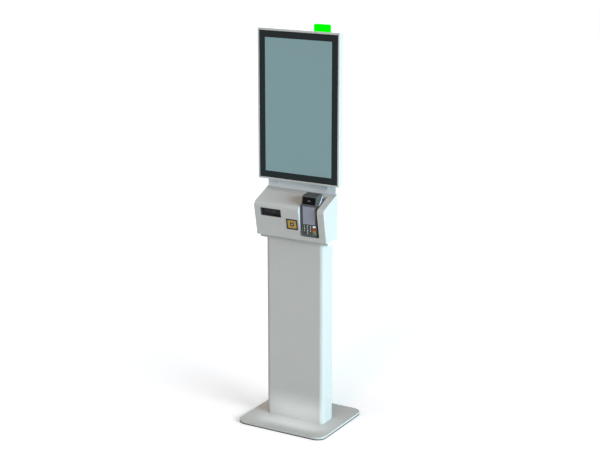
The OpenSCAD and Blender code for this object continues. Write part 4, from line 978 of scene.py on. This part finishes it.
def makeFloor(look):
    work = bmesh.new()
    bmesh.ops.create_grid(work, x_segments=4, y_segments=4, size=look["floorHalf"])
    mesh = bpy.data.meshes.new("floor")
    work.to_mesh(mesh)
    work.free()
    floor = bpy.data.objects.new("floor", mesh)
    scene.collection.objects.link(floor)
    material = bpy.data.materials.new("paleFloor")
    material.use_nodes = True
    tree = material.node_tree
    shader = tree.nodes["Principled BSDF"]
    shader.inputs["Roughness"].default_value = look["floorRough"]
    shader.inputs["Specular IOR Level"].default_value = look["floorSpecular"]
    place = addNode(tree, "ShaderNodeTexCoord").outputs["Object"]
    away = addNode(tree, "ShaderNodeVectorMath", {"operation": "LENGTH"})
    tree.links.new(place, away.inputs[0])
    fade = addNode(tree, "ShaderNodeMapRange", None,
                   {"From Min": look["liftFrom"][0], "From Max": look["liftFrom"][1],
                    "To Min": look["floorLift"][0], "To Max": look["floorLift"][1]})
    tree.links.new(away.outputs["Value"], fade.inputs["Value"])
    # Painted contact shadow on the floor: dark under the base plate, and a little darker beside its edge
    folded = addNode(tree, "ShaderNodeVectorMath", {"operation": "ABSOLUTE"})
    tree.links.new(place, folded.inputs[0])
    past = addNode(tree, "ShaderNodeVectorMath", {"operation": "SUBTRACT"})
    past.inputs[1].default_value = (*(half - look["baseCorner"] for half in look["baseHalf"]), 0)
    tree.links.new(folded.outputs[0], past.inputs[0])
    outside = addNode(tree, "ShaderNodeVectorMath", {"operation": "MAXIMUM"})
    tree.links.new(past.outputs[0], outside.inputs[0])
    reach = addNode(tree, "ShaderNodeVectorMath", {"operation": "LENGTH"})
    tree.links.new(outside.outputs[0], reach.inputs[0])
    soft = addNode(tree, "ShaderNodeMapRange", None,
                   {"From Min": look["baseCorner"], "From Max": look["baseCorner"] + look["contactWidth"],
                    "To Min": look["contactShade"]})
    tree.links.new(reach.outputs["Value"], soft.inputs["Value"])
    beyond = addNode(tree, "ShaderNodeMath", {"operation": "GREATER_THAN"})
    beyond.inputs[1].default_value = look["baseCorner"]
    tree.links.new(reach.outputs["Value"], beyond.inputs[0])
    # The painted contact shadow's factor: 0 under the plate, contactShade at its edge, 1 past contactWidth
    clear = product(tree, soft.outputs["Result"], beyond.outputs[0])
    lifted = product(tree, fade.outputs["Result"], clear)
    # The camera sees a colour that evens out the tint of the shadows
    seen = addNode(tree, "ShaderNodeMix", {"data_type": "RGBA"})
    seen.inputs["A"].default_value = (*look["floorColour"], 1)
    seen.inputs["B"].default_value = (*look["seenColour"], 1)
    tree.links.new(seenRays(tree, ("Is Camera Ray",)), seen.inputs["Factor"])
    shaded = addNode(tree, "ShaderNodeVectorMath", {"operation": "SCALE"})
    tree.links.new(seen.outputs["Result"], shaded.inputs[0])
    tree.links.new(clear, shaded.inputs["Scale"])
    tree.links.new(shaded.outputs[0], shader.inputs["Base Color"])
    strength = product(tree, lifted, seenRays(tree, ("Is Camera Ray", "Is Glossy Ray")))
    lift = addNode(tree, "ShaderNodeEmission", None, {"Color": (*look["liftColour"], 1)})
    tree.links.new(strength, lift.inputs["Strength"])
    both = addNode(tree, "ShaderNodeAddShader")
    tree.links.new(shader.outputs[0], both.inputs[0])
    tree.links.new(lift.outputs[0], both.inputs[1])
    tree.links.new(both.outputs[0], tree.nodes["Material Output"].inputs["Surface"])
    mesh.materials.append(material)


def makeStage(look):
    makeWorld(look)
    makeFloor(look)
    for number, sun in enumerate(look["suns"]):
        lamp = bpy.data.lights.new(f"sun{number}", "SUN")
        lamp.energy, lamp.color, lamp.angle = sun["strength"], sun["tint"], math.radians(sun["angle"])
        holder = bpy.data.objects.new(f"sun{number}", lamp)
        scene.collection.objects.link(holder)
        holder.rotation_euler = (-Vector(sun["from"])).to_track_quat("-Z", "Y").to_euler()
    # A small strip lamp low in front, for the column's foot
    foot = look["footLamp"]
    lamp = bpy.data.lights.new("footLamp", "AREA")
    lamp.shape, lamp.energy = "RECTANGLE", foot["power"]
    lamp.size, lamp.size_y = foot["size"]
    holder = bpy.data.objects.new("footLamp", lamp)
    scene.collection.objects.link(holder)
    holder.location = foot["place"]
    aim = Vector(foot["target"]) - Vector(foot["place"])
    holder.rotation_euler = aim.to_track_quat("-Z", "Y").to_euler()
    holder.visible_camera = holder.visible_glossy = False


makeStage(stageLook)
scene.view_settings.view_transform = "Standard"

print("scene is ready")
